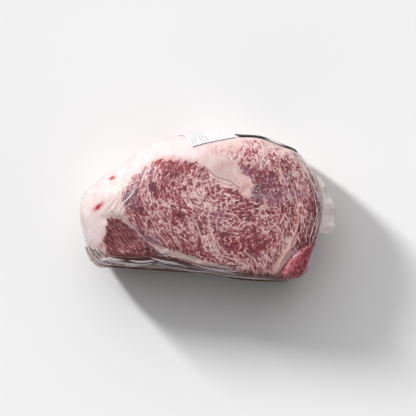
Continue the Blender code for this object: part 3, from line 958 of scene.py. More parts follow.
@dataclass(frozen=True)
class ShrinkFilm:
    """Clear shrink film, blown and pulled tight with heat: sharp reflections that its creases break up."""

    name: str = "shrink_film_heat_tightened"
    refraction: float = 1.45
    roughness: float = 0.13
    haze_colour: str = "#EDEAF0"
    haze: float = 0.012
    loose_haze: float = 0.035
    streak_haze: float = 0.30
    painted_sparkle_cover: float = 0.8  # painted white sparkle highlights in thin curls
    tight: float = 0.35  # share of its reflection that is left where the film is wetted by the meat
    plies: float = 4.0  # how many times more a loose, folded film reflects
    crease_size: float = 9.0  # mm between creases

    def material(self) -> bpy.types.Material:
        """Builds the material, which reads the film's looseness from the attribute "film"."""
        material, add = new_material(self.name)
        loose, painted_sparkle, end = add(Step.SPLIT, add(Step.STORED, attribute_name="film")).node.outputs
        place = add(Step.PLACE)
        wander = add(Step.NOISE_VECTOR, place, 70.0, 2.0)
        bent = add(Step.VECTOR_MULTIPLY_ADD, wander, (0.010, 0.010, 0.010), place)
        crease = add(Step.SPAN, add(Step.CELLS, bent, 1000.0 / self.crease_size, 1.0), 0.0, 0.12)
        ripple = add(Step.NOISE, place, 260.0, 3.0, None, 1.5)
        slack = add(Step.SPAN, loose, None, None, 0.32, 0.7)
        bump = add(Step.BUMP, slack, 0.0009, add(Step.MULTIPLY_ADD, crease, 0.5, ripple))
        # Streaks along the film: level on the long walls, upright at the ends
        level = add(Step.VECTOR_MULTIPLY, bent, (38.0, 38.0, 230.0))
        upright = add(Step.VECTOR_MULTIPLY, bent, (210.0, 210.0, 26.0))
        drawn = add(Step.NOISE, add(Step.VECTOR_MIX, end, level, upright), 1.0, 3.0, 0.6)
        along = add(Step.MULTIPLY, add(Step.SPAN, drawn, 0.50, 0.64), loose)
        # Reflections, on the outer side alone
        plies = add(Step.SPAN, along, None, None, self.tight, self.plies)
        shine = add(Step.MULTIPLY, add(Step.FRESNEL, self.refraction, bump), plies, use_clamp=True)
        outer = add(Step.SUBTRACT, 1.0, add(Step.BACK))
        gloss = add(Step.MULTIPLY, shine, outer, use_clamp=True)
        # White where the film stands off and along its creases, and painted white sparkle highlights in thin curls
        curl = add(Step.COMPARE, add(Step.NOISE, place, 330.0, 2.0, None, 0.8), 0.5, 0.018)
        painted_sparkle_lines = add(Step.MULTIPLY, curl, add(Step.ADD, painted_sparkle, 0.18, use_clamp=True))
        veil = add(Step.SPAN, loose, None, None, self.haze, self.loose_haze)
        veil = add(Step.MULTIPLY_ADD, along, self.streak_haze, veil)
        veil = add(Step.MULTIPLY_ADD, painted_sparkle_lines, self.painted_sparkle_cover, veil, use_clamp=True)
        clear = add(Step.CLEAR, linear("#FEFDFD"))
        body = add(Step.LAYER, veil, clear, add(Step.DIFFUSE, linear(self.haze_colour), bump))
        add(Step.SURFACE, add(Step.LAYER, gloss, body, add(Step.MIRROR, self.roughness, bump)))
        return material


@dataclass(frozen=True)
class PlyFilm:
    """Two plies of shrink film pressed together: paler and less clear than one ply on the meat, with a faint painted
    glow.
    """

    name: str = "shrink_film_two_plies"
    colour: str = "#FBF2F2"
    cover: float = 0.78
    painted_glow: float = 0.10  # emission: a painted glow that stands in for light scattered inside the plies
    roughness: float = 0.18
    refraction: float = 1.5
    cloud: float = 0.15  # how much the cover varies

    def material(self) -> bpy.types.Material:
        """Builds the material."""
        material, add = new_material(self.name)
        ripple = add(Step.NOISE, add(Step.PLACE), 150.0, 2.0, None, 0.8)
        cover = add(Step.SPAN, ripple, 0.3, 0.7, self.cover * (1 - self.cloud), self.cover * (1 + self.cloud))
        bump = add(Step.BUMP, 0.4, 0.0006, ripple)
        # Painted glow: the skin emits a little pale pink light
        glow = linear("#F6E4E2")
        skin = add(Step.BODY, linear(self.colour), self.roughness, self.refraction, None, bump, glow, self.painted_glow)
        add(Step.SURFACE, add(Step.LAYER, cover, add(Step.CLEAR, linear("#F8F6F6")), skin))
        return material


@dataclass(frozen=True)
class RuledPaper:
    """Coated label paper with printed rules: white, with thin grey lines that stand for text."""

    name: str = "coated_label_paper_ruled"
    paper: str = "#EBE8F0"
    speck: str = "#C9C2D4"
    ink: str = "#8E8C94"
    pitch: float = 3.0  # mm from line to line
    line_share: float = 0.36  # of the pitch
    ink_cover: float = 0.75
    rules_end: float = -0.004  # across the label, in metres from its middle

    def material(self, middle: Vector, facing: Matrix) -> bpy.types.Material:
        """Builds the material.

        Args:
            middle: The label's middle in the row frame.
            facing: The rotation whose third column is the label's outward direction.

        Returns:
            The material, whose rules run in the label's own plane.
        """
        material, add = new_material(self.name)
        place = add(Step.PLACE)
        offset = add(Step.VECTOR_SUBTRACT, place, middle)
        across, along = (add(Step.DOT, offset, facing.col[axis]) for axis in (0, 1))
        lines = add(Step.MULTIPLY, across, 1000.0 / self.pitch)
        inked = add(Step.LESS_THAN, add(Step.FRACT, lines), self.line_share)
        # Gaps along each line, as between words
        seed = add(Step.JOIN, add(Step.FLOOR, lines), along)
        words = add(Step.NOISE, add(Step.VECTOR_MULTIPLY, seed, (7.3, 330.0, 1.0)), 1.0, 1.0)
        ink = add(Step.MULTIPLY, inked, add(Step.GREATER_THAN, words, 0.42))
        ink = add(Step.MULTIPLY, ink, add(Step.LESS_THAN, across, self.rules_end))
        speck = add(Step.SPAN, add(Step.NOISE, place, 520.0, 2.0), 0.50, 0.66, None, 0.75)
        sheet = add(Step.MIX, speck, linear(self.paper), linear(self.speck))
        colour = paint(add, sheet, (Step.MIX, ink, self.ink_cover, self.ink))
        bump = add(Step.BUMP, 0.15, 0.0002, add(Step.NOISE, place, 1800.0, 2.0))
        add(Step.SURFACE, add(Step.BODY, colour, 0.5, None, None, bump))
        return material


@dataclass(frozen=True)
class BlackLabelStock:
    """Black label stock, printed solid: a faint sheen with tiny pale specks of wear, and a painted pale highlight
    near its top.
    """

    name: str = "black_label_stock_printed"
    reflection: float = 0.12
    # Where a pale highlight is painted near the top: middle along X, half-width there from full to none, heights
    # from none to full
    painted_highlight_middle: float = 0.0675
    painted_highlight_reach: tuple[float, float] = (0.003, 0.011)
    painted_highlight_heights: tuple[float, float] = (0.058, 0.062)

    def material(self) -> bpy.types.Material:
        """Builds the material."""
        material, add = new_material(self.name)
        place = add(Step.PLACE)
        specks = add(Step.NOISE, place, 900.0, 3.0)
        worn = add(Step.RAMP, specks)
        set_stops(worn, {0.35: "#170A0D", 0.62: "#221115", 0.74: "#3A2A2E"})
        x, _, z = add(Step.SPLIT, place).node.outputs
        off = add(Step.ABSOLUTE, add(Step.SUBTRACT, x, self.painted_highlight_middle))
        near = add(Step.SPAN, off, self.painted_highlight_reach[1], self.painted_highlight_reach[0])
        top = add(Step.SPAN, z, *self.painted_highlight_heights)
        # Painted pale highlight near the label's top edge
        colour = paint(add, worn, (Step.MIX, near, top, "#E6DCDC"))
        bump = add(Step.BUMP, 0.2, 0.0002, specks)
        add(Step.SURFACE, add(Step.BODY, colour, 0.5, None, self.reflection, bump))
        return material


@dataclass(frozen=True)
class DarkFilmLines:
    """Brown-black lines in the film, with a wet shine: by default painted shade between the film's pleats."""

    name: str = "painted_shade_in_film_pleats"
    dark: str = "#3C211E"
    brown: str = "#7C564E"
    cover: float = 0.55
    roughness: float = 0.25

    def material(self) -> bpy.types.Material:
        """Builds the material."""
        material, add = new_material(self.name)
        tone = add(Step.RAMP, add(Step.NOISE, add(Step.PLACE), 420.0, 2.0))
        set_stops(tone, {0.40: self.dark, 0.66: self.brown})
        wet = add(Step.BODY, tone, self.roughness)
        add(Step.SURFACE, add(Step.LAYER, self.cover, add(Step.CLEAR, linear("#F4EEEE")), wet))
        return material


# Pieces


@dataclass
class Beef:
    """The meat inside the film."""

    plan: Plan
    face: CutFace = field(default_factory=CutFace)
    spaces: tuple[int, int, int] = (130, 82, 36)
    inset: float = 0.0006  # how far the meat lies inside the film's outer face
    lift: float = 0.0003  # and over the floor
    finish: RawBeef = field(default_factory=RawBeef)

    def build(self) -> bpy.types.Object:
        """Makes the meat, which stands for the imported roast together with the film."""
        mesh = self.plan.form.mesh("beef", self.spaces, fine_top=True)
        places = mesh_points(mesh)
        self.face.dress(mesh, places)
        shrunk = places - mesh_points(mesh, "normal") * self.inset
        shrunk[:, 2] = np.maximum(shrunk[:, 2], self.lift)
        move_points(mesh, self.plan.to_frame(shrunk))
        piece = add_piece("beef", mesh, self.finish.material())
        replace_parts(piece, "bagged_beef")
        return piece


@dataclass
class ClingFilm:
    """The film that clings all round the meat, under the labels."""

    plan: Plan
    spaces: tuple[int, int, int] = (140, 90, 40)
    slack: float = 0.00035
    # Loose parts of the wall: bearing of the middle, reach of the loose part and of its full looseness, in degrees
    front: tuple[float, float, float] = (238, 62, 40)
    left: tuple[float, float, float] = (183, 34, 10)
    right: tuple[float, float, float] = (10, 42, 14)
    least_loose: float = 0.08
    left_share: float = 0.35
    right_share: float = 0.45
    front_heights: tuple[float, float] = (0.025, 0.050)  # the front is loose above these
    painted_sparkle_heights: tuple[float, float] = (0.080, 0.090)
    # Two crossing waves that lift the film off the meat, in radians a metre
    waves: tuple[tuple[float, float, float], tuple[float, float, float]] = ((310, 170, 90), (-120, 260, 140))
    # Where white sparkle highlights are painted on the cut face, in millimetres
    painted_sparkle: tuple[Patch, ...] = (
        Patch((-78.0, 12.0), (6.0, 12.0), 1.0), Patch((-68.0, 22.0), (6.0, 8.0), 0.7, 40),
        Patch((45.0, 14.0), (7.0, 8.0), 1.0), Patch((54.0, 42.0), (5.0, 9.0), 0.7, -25),
        Patch((78.0, 28.0), (4.0, 8.0), 0.9, -20), Patch((-40.0, -48.0), (6.0, 4.0), 0.9),
        Patch((60.0, 5.0), (10.0, 5.0), 0.4), Patch((15.0, -62.0), (16.0, 4.0), 0.7, -12),
        Patch((-4.0, 30.0), (6.0, 8.0), 0.35), Patch((87.0, -48.0), (7.0, 2.5), 1.0, 48),
        Patch((-60.0, 34.0), (8.0, 4.0), 0.5, 35), Patch((-30.0, 25.0), (25.0, 12.0), 0.2),
        Patch((95.0, 25.0), (8.0, 16.0), 0.5, 30), Patch((101.0, -12.0), (7.0, 20.0), 0.35),
        Patch((-55.0, -40.0), (14.0, 6.0), 0.4, -30),
    )
    finish: ShrinkFilm = field(default_factory=ShrinkFilm)

    def looseness(self, places: Points, normals: Points) -> tuple[Points, Points]:
        """How loose the film is at each vertex, and how much its creases run up and down there.

        Args:
            places: The vertices in the form's plan.
            normals: Which way the film faces there.

        Returns:
            Both as numbers from 0 to 1.
        """
        bearing = np.degrees(np.arctan2(places[:, 1], places[:, 0])) % 360
        wall = step_up(-np.abs(normals[:, 2]), -0.90, -0.55)
        front, left, right = (
            step_up(-np.abs((bearing - middle + 180) % 360 - 180), -reach, -full)
            for middle, reach, full in (self.front, self.left, self.right)
        )
        front = front * step_up(places[:, 2], *self.front_heights)
        loose = np.maximum(np.maximum(front, self.left_share * left), self.right_share * right) * wall
        return np.maximum(loose, self.least_loose * wall), np.maximum(left, right)

    def build(self) -> bpy.types.Object:
        """Makes the film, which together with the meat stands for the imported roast."""
        mesh = self.plan.form.mesh("cling_film", self.spaces)
        places = mesh_points(mesh)
        normals = mesh_points(mesh, "normal")
        loose, upright = self.looseness(places, normals)
        flat = places[:, :2] / MM
        # How strongly white sparkle highlights are painted, on the upper face alone
        painted_sparkle = sum(patch.cover(flat) for patch in self.painted_sparkle) * step_up(places[:, 2], *self.painted_sparkle_heights)
        add_attribute(mesh, "film", np.column_stack([loose, painted_sparkle, upright]))
        waves = np.sin(places @ self.waves[0]) * np.sin(places @ self.waves[1] + 1.0)
        stand_off = self.slack * (0.5 + 0.5 * waves) * (places[:, 2] > 0.001)
        in_frame = self.plan.to_frame(places) + normals * stand_off[:, None]
        in_frame[:, 2] = np.maximum(in_frame[:, 2], 0.0)
        move_points(mesh, in_frame)
        piece = add_piece("cling_film", mesh, self.finish.material())
        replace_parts(piece, "bagged_beef")
        return piece


@dataclass(frozen=True)
class Fold:
    """A raised crease of film: where it lies, its route in millimetres or degrees, and its width in millimetres."""

    route: tuple[tuple[float, float], ...]
    width: float
    rise: float = 0.8  # height against half the width
    surface: Surface = Surface.CUT_FACE


@dataclass
class FilmFolds:
    """Fine raised creases of the film, which catch the light as thin white lines, helped by a painted glow in their
    finish.
    """

    plan: Plan
    folds: tuple[Fold, ...] = (
        Fold(((-79.0, 10.0), (-74.5, 12.5), (-72.0, 18.0)), 0.6),
        Fold(((-42.0, -46.3), (-39.0, -45.0), (-37.5, -45.0)), 0.8),
        Fold(((-42.5, -49.5), (-40.0, -50.8), (-38.0, -53.0)), 0.7),
        Fold(((50.0, 34.0), (53.5, 39.5), (58.5, 46.0)), 0.8),
        Fold(((53.0, 34.0), (57.0, 39.0), (60.5, 43.0)), 0.5),
        Fold(((75.5, 22.0), (79.5, 27.0), (79.0, 33.0)), 0.6),
        Fold(((109.0, 0.5), (107.2, -8.4), (104.6, -19.2), (100.5, -32.0), (99.8, -43.0)), 0.9),
        Fold(((111.0, 0.5), (109.8, -12.0), (106.4, -24.6), (102.0, -38.0)), 0.9),
        Fold(((99.5, -48.0), (98.0, -60.0), (93.0, -67.5)), 0.7),
        Fold(((100.0, 35.0), (106.0, 24.0), (110.0, 12.0)), 0.8),
    )
    # Creases that stand up and catch more light, in a whiter finish with a stronger painted glow
    glints: tuple[Fold, ...] = (
        Fold(((-88.9, -11.7), (-86.2, -5.2), (-82.9, 0.8), (-77.6, 6.2), (-72.0, 14.3), (-73.3, 19.7)), 1.6),
        Fold(((-85.6, 0.3), (-84.6, 12.3), (-85.3, 18.6)), 1.5),
        Fold(((-81.4, 2.6), (-75.6, 7.7), (-68.9, 17.5)), 1.3),
        Fold(((-101.3, -6.2), (-97.0, -0.9), (-91.5, 5.5), (-90.0, 8.4)), 1.5),
        Fold(((-97.6, -8.4), (-92.7, -3.1), (-88.9, 3.6)), 1.3),
        Fold(((-90.0, 10.0), (-86.0, 14.0), (-78.0, 19.0), (-70.0, 22.0)), 1.2),
        Fold(((-93.0, 14.0), (-89.0, 17.0), (-84.0, 22.0)), 1.0),
        Fold(((-95.0, -7.0), (-90.5, -2.0), (-88.0, 5.0), (-87.5, 11.0)), 1.2),
        Fold(((-83.5, -8.0), (-80.0, -3.0), (-75.0, 2.0)), 1.1),
        Fold(((-99.0, 2.0), (-96.0, 8.0), (-95.0, 14.0)), 0.9),
        Fold(((86.0, -51.0), (89.0, -48.5), (92.5, -46.5)), 0.8),
        Fold(
            (
                (-106.7, -56.7), (-100.9, -53.8), (-93.1, -55.8),
                (-80.5, -58.2), (-65.9, -59.2), (-54.2, -57.7),
            ),
            4.5, 0.3,
        ),
        Fold(((-98.9, -51.4), (-91.2, -53.8), (-81.4, -54.8)), 2.0),
        Fold(((-77.5, -54.8), (-65.9, -56.3), (-51.3, -54.8)), 2.4),
        Fold(((-56.2, -51.9), (-46.4, -54.8), (-31.8, -57.7), (-19.2, -61.6)), 2.0),
        Fold(((-93.1, -58.7), (-81.4, -60.6), (-65.9, -61.1)), 1.6),
        Fold(((-36.7, -61.6), (-23.1, -64.5), (-9.5, -66.0), (4.1, -66.5)), 1.8),
        Fold(((-17.3, -57.7), (-3.6, -61.6), (13.9, -64.5), (29.4, -65.5)), 1.2),
        Fold(((6.1, -67.4), (23.6, -70.4), (43.0, -72.3), (62.5, -73.3)), 1.6),
        Fold(((-114.5, -50.9), (-110.6, -54.8), (-107.7, -58.7)), 2.0),
        Fold(((-117.4, -38.3), (-113.5, -43.1), (-107.7, -47.0)), 1.2),
        Fold(((-111.6, -43.1), (-108.7, -44.1), (-104.8, -47.0)), 1.0),
        Fold(((-118.4, -46.0), (-115.5, -49.9), (-113.5, -54.8)), 1.4),
        Fold(((-46.4, -46.0), (-40.6, -44.1), (-37.7, -41.2)), 0.8),
        Fold(((-49.3, -44.1), (-45.5, -47.0), (-41.6, -47.0)), 0.8),
        Fold(((-120.3, -9.1), (-118.4, -22.7), (-114.5, -34.4)), 0.9),
        Fold(((-115.5, -16.9), (-112.6, -30.5), (-108.7, -42.1)), 0.8),
        Fold(((-121.3, -0.3), (-118.4, 6.5), (-113.5, 14.3)), 0.8),
        Fold(((83.9, 54.1), (90.7, 44.4), (97.5, 31.8), (104.3, 17.2), (109.2, 4.5)), 2.0, 0.5),
        Fold(((88.7, 53.2), (96.5, 42.5), (103.3, 29.8), (109.2, 15.2)), 1.3),
        Fold(((95.6, 31.8), (101.4, 18.1), (105.3, 4.5), (107.2, -9.1)), 1.0),
        Fold(((107.2, 0.6), (108.2, -11.0), (106.3, -24.6), (102.4, -38.3)), 1.0),
        Fold(((102.4, -44.1), (100.4, -55.8), (96.5, -64.5)), 1.0),
    )
    # Dark lines of painted shade between the film's pleats
    pleats: tuple[Fold, ...] = (
        Fold(((-118.4, -42.1), (-114.5, -46.0), (-111.6, -44.6), (-107.7, -49.9), (-103.8, -52.8)), 1.8),
        Fold(((-116.5, -49.0), (-111.6, -51.9), (-106.7, -55.8), (-100.9, -56.7)), 1.8),
        Fold(((-109.6, -41.2), (-105.8, -46.0), (-100.9, -49.9)), 1.2),
        Fold(((-113.5, -55.8), (-109.6, -57.7), (-105.8, -60.6)), 1.4),
        Fold(((-102.8, -49.4), (-90.2, -51.4), (-77.5, -52.4), (-63.9, -51.9), (-54.2, -50.9)), 2.6),
        Fold(((-56.2, -55.8), (-41.6, -58.7), (-27.0, -61.6), (-11.4, -63.5), (-0.7, -64.5)), 2.6),
        Fold(((-34.8, -54.8), (-19.2, -59.2), (-3.6, -62.1)), 2.0),
        Fold(((-100.9, -57.7), (-87.3, -59.7), (-71.7, -60.1)), 1.2),
        Fold(((-2.7, -64.5), (13.9, -68.4), (31.4, -69.9), (46.9, -70.4)), 1.6),
        Fold(((48.9, -69.4), (62.5, -72.3), (76.1, -73.8)), 1.4),
        Fold(((86.8, 50.2), (94.6, 37.6), (101.4, 24.0), (106.3, 10.4)), 0.7),
    )
    # Thin dark red-brown lines along the rim of the cut face
    rims: tuple[Fold, ...] = (
        Fold(
            (
                (-110.6, -58.7), (-101.9, -60.6), (-85.3, -61.6), (-65.9, -63.1),
                (-46.4, -65.0), (-27.0, -66.9), (-7.5, -68.9),
            ),
            2.8, 1.3,
        ),
        Fold(((-11.4, -68.4), (16.8, -71.3), (41.1, -73.8), (65.4, -75.2), (81.9, -75.2)), 2.4, 1.3),
        Fold(((-118.4, -40.2), (-116.5, -46.0), (-112.6, -50.9), (-109.6, -54.8)), 1.6),
        Fold(((94.6, 33.7), (100.4, 20.1), (104.3, 6.5)), 1.0),
    )
    wall_seed: int = 7
    # Where pleats fan out from: bearing and height of the gather, bearings they reach, heights they reach, how many
    fans: tuple[tuple[float, float, float, float, float, float, int], ...] = (
        (206.0, 34.0, 196.0, 150.0, 10.0, 90.0, 15),
        (207.0, 38.0, 212.0, 262.0, 30.0, 90.0, 11),
        (4.0, 60.0, 10.0, 52.0, 14.0, 90.0, 9),
        (2.0, 60.0, -4.0, -44.0, 12.0, 90.0, 9),
    )
    # Long creases along the walls: bearings from and to, heights from and to, how many, length in degrees
    runs: tuple[tuple[float, float, float, float, int, float], ...] = (
        (218.0, 300.0, 40.0, 88.0, 16, 26.0),
        (50.0, 145.0, 30.0, 90.0, 9, 22.0),
        (215.0, 310.0, 6.0, 22.0, 8, 24.0),
    )
    # Across the fold: share of the half-width, share of the height
    section: tuple[tuple[float, float], ...] = ((-1, 0), (-0.45, 0.8), (0, 1), (0.45, 0.8), (1, 0))
    rows: int = 24
    sink: float = 0.00012
    finish: PlyFilm = field(default_factory=lambda: PlyFilm("shrink_film_creased", "#FAF6F8", 0.40))
    glint: PlyFilm = field(default_factory=lambda: PlyFilm("shrink_film_creased_white", "#F6F1F4", 0.43, 0.22))
    pleat_shade: DarkFilmLines = field(default_factory=lambda: DarkFilmLines())
    rim_lines: DarkFilmLines = field(
        default_factory=lambda: DarkFilmLines("red_brown_rim_lines_in_film", "#6A2A28", "#A8685E", 0.8)
    )

    def on_walls(self) -> list[Fold]:
        """The creases of the walls, drawn by chance from a fixed seed."""
        draw = np.random.default_rng(self.wall_seed)
        folds = []
        for bearing, height, first, last, low, high, count in self.fans:
            for index in range(count):
                share = (index + draw.uniform(0.1, 0.9)) / count
                end = np.array([first + (last - first) * draw.uniform(0.35, 1.0), low + (high - low) * share])
                root = np.array([bearing, height]) + draw.normal(0, 1.2, 2)
                start = root + (end - root) * draw.uniform(0.05, 0.45)
                bend = draw.normal(0, 0.07) * np.array([root[1] - end[1], end[0] - root[0]])
                middle = (start + end) / 2 + bend
                route = (tuple(start), tuple((start + middle) / 2 + bend / 4), tuple(middle), tuple(end))
                folds.append(Fold(route, draw.uniform(0.35, 0.8), surface=Surface.WALL))
        for first, last, low, high, count, length in self.runs:
            for _ in range(count):
                bearing, height = draw.uniform(first, last), draw.uniform(low, high)
                reach = length * draw.uniform(0.3, 1.0) / 2
                rise = draw.normal(0, 2.5)
                route = tuple(
                    (bearing + share * reach, height + rise * share + draw.normal(0, 0.8))
                    for share in (-1.0, -0.4, 0.2, 1.0)
                )
                folds.append(Fold(route, draw.uniform(0.35, 0.7), surface=Surface.WALL))
        return folds

    def land(self, fold: Fold, place: Points, skin: BVHTree) -> tuple[Vector, Vector]:
        """Finds where a point of a fold's route lies on the film, and which way the film faces there."""
        if fold.surface is Surface.CUT_FACE:
            start = Vector(self.plan.to_frame(np.array([[place[0] * MM, place[1] * MM, 0.2]]))[0])
            spot, normal, _, _ = skin.ray_cast(start, Vector((0.0, 0.0, -1.0)))
            if spot is None or spot.z < 0.02:
                spot, normal, _, _ = skin.find_nearest(Vector((start.x, start.y, 0.048)))
            return spot, normal
        outward = Vector((math.cos(math.radians(place[0])), math.sin(math.radians(place[0])), 0.0))
        centre = Vector(self.plan.to_frame(np.array([[*self.plan.form.middle, place[1] * MM]]))[0])
        spot, normal, _, _ = skin.ray_cast(centre + outward * 0.3, -outward)
        return spot, normal

    def build(self, films: list[bpy.types.Object]) -> None:
        """Lays the folds on the film and its gather, as one piece for each finish."""
        points: list[Vector] = []
        faces: list[list[int]] = []
        for film in films:
            faces += [[len(points) + index for index in face.vertices] for face in film.data.polygons]
            points += [vertex.co.copy() for vertex in film.data.vertices]
        skin = BVHTree.FromPolygons(points, faces)
        self.lay("film_folds", (*self.folds, *self.on_walls()), skin, self.finish.material())
        self.lay("film_glints", self.glints, skin, self.glint.material())
        self.lay("film_pleats", self.pleats, skin, self.pleat_shade.material())
        self.lay("film_rim_lines", self.rims, skin, self.rim_lines.material())

    def lay(self, name: str, folds: tuple[Fold, ...], skin: BVHTree, material: bpy.types.Material) -> None:
        """Makes one piece of some folds.

        Args:
            name: The piece's name.
            folds: The folds in it.
            skin: The film that they lie on.
            material: The finish that they share.
        """
        shape = bmesh.new()
        for fold in folds:
            route = np.array(fold.route)
            doubled = np.vstack([route[:1], route, route[-1:]])
            spots = [self.land(fold, open_point(doubled, share), skin) for share in np.linspace(0, 1, self.rows)]
            rows = []
            for index, (spot, normal) in enumerate(spots):
                before, after = spots[max(index - 1, 0)][0], spots[min(index + 1, self.rows - 1)][0]
                side = normal.cross(after - before).normalized()
                share = index / (self.rows - 1)
                width = fold.width * MM / 2 * math.sin(math.pi * share) ** 0.6
                raised = [
                    spot + side * across * width + normal * (height * width * fold.rise - self.sink)
                    for across, height in self.section
                ]
                rows.append([shape.verts.new(place) for place in raised])
            for first, second in zip(rows, rows[1:]):
                for place in range(len(self.section) - 1):
                    shape.faces.new((first[place], first[place + 1], second[place + 1], second[place]))
        bmesh.ops.remove_doubles(shape, verts=shape.verts, dist=1e-6)
        mesh = bpy.data.meshes.new(name)
        shape.to_mesh(mesh)
        shape.free()
        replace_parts(add_piece(name, mesh, material), "bagged_beef")


def open_point(points: Points, share: float) -> Points:
    """A point on a smooth curve through all but the first and last of the given ones (Catmull-Rom)."""
    place = min(share * (len(points) - 3), len(points) - 3 - 1e-9)
    index = int(place)
    t = place - index
    before, here, after, later = points[index : index + 4]
    return 0.5 * (
        2 * here
        + (after - before) * t
        + (2 * before - 5 * here + 4 * after - later) * t**2
        + (3 * here - before - 3 * after + later) * t**3
    )


@dataclass
class FilmEnd:
    """A loose end of the film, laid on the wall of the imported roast."""

    plan: Plan
    name: str
    # From one side of the end to the other: bearings in degrees, heights on the wall, droop in degrees, reaches
    bearings: tuple[float, float]
    root_heights: tuple[float, float]
    droop: tuple[float, float]
    reaches: tuple[float, ...]
    waves: float  # along the end
    wave_height: float
    fan: float = 9.0  # fine wrinkles along the end
    fan_height: float = 0.0003
    # Raggedness of the free edge: its share of the reach, waves and phase
    ragged: tuple[tuple[float, float, float], ...] = ((0.05, 31.0, 0.0), (0.03, 73.0, 1.0))
    spaces: tuple[int, int] = (120, 16)
    ply: float = 0.0006
    gap: float = 0.0006

    def build(self, wall: BVHTree, material: bpy.types.Material) -> bpy.types.Object:
        """Makes the loose end.

        Args:
            wall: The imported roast's surface.
            material: The film's two-ply material.

        Returns:
            The piece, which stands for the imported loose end.
        """
        shape = bmesh.new()
        bmesh.ops.create_grid(shape, x_segments=self.spaces[0], y_segments=self.spaces[1], size=0.5)
        centre = Vector((*self.plan.to_frame(np.array([[*self.plan.form.middle, 0.0]]))[0][:2], 0.0))
        first, last = (math.radians(bearing) for bearing in self.bearings)
        for vertex in shape.verts:
            along, out = vertex.co.x + 0.5, vertex.co.y + 0.5
            bearing = first + (last - first) * along
            height = self.root_heights[0] * (1 - along) + self.root_heights[1] * along
            droop = math.radians(self.droop[0] * (1 - along) + self.droop[1] * along)
            outward = Vector((math.cos(bearing), math.sin(bearing), 0.0))
            start = centre + outward * 0.3 + Vector((0.0, 0.0, height))
            root, _, _, _ = wall.ray_cast(start, -outward)
            ragged = 1 + sum(share * math.sin(waves * along + phase) for share, waves, phase in self.ragged)
            length = float(np.interp(along, np.linspace(0, 1, len(self.reaches)), self.reaches)) * out * ragged
            turn = 2 * math.pi * along
            wave = math.sin(self.waves * turn + 0.8) * self.wave_height * out
            wave += math.sin(self.fan * turn + 3 * out) * self.fan_height * math.sqrt(out)
            vertex.co = root + outward * (self.gap + length * math.cos(droop))
            vertex.co.z += wave - length * math.sin(droop)
        mesh = bpy.data.meshes.new(self.name)
        shape.to_mesh(mesh)
        shape.free()
        piece = add_piece(self.name + "_plies", mesh, material)
        plies = piece.modifiers.new("plies", "SOLIDIFY")
        plies.thickness = self.ply
        plies.offset = 0.0
        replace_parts(piece, self.name)
        return piece


@dataclass
class Labels:
    """The two labels on the film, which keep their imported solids."""

    # The white label's turns in degrees: in its own plane, back from lying face up, and round the roast
    white_turns: tuple[float, float, float] = (17.0, -55.0, 3.0)
    white: RuledPaper = field(default_factory=RuledPaper)
    black: BlackLabelStock = field(default_factory=BlackLabelStock)

    def dress(self) -> None:
        """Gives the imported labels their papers."""
        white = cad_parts["white_label"]
        low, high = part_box("white_label")
        spin, tilt, bearing = (math.radians(turn) for turn in self.white_turns)
        facing = Matrix.Rotation(bearing, 3, "Z") @ Matrix.Rotation(tilt, 3, "X") @ Matrix.Rotation(spin, 3, "Z")
        white.material_slots[0].material = self.white.material((low + high) / 2, facing)
        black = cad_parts["black_label"]
        black.material_slots[0].material = self.black.material()
        LOG.info("labels dressed")


@dataclass(frozen=True)
class Glow:
    """A soft bright region of the surroundings: its middle in degrees, how narrow it is, its share of the light."""

    bearing: float
    height: float
    focus: float
    share: float


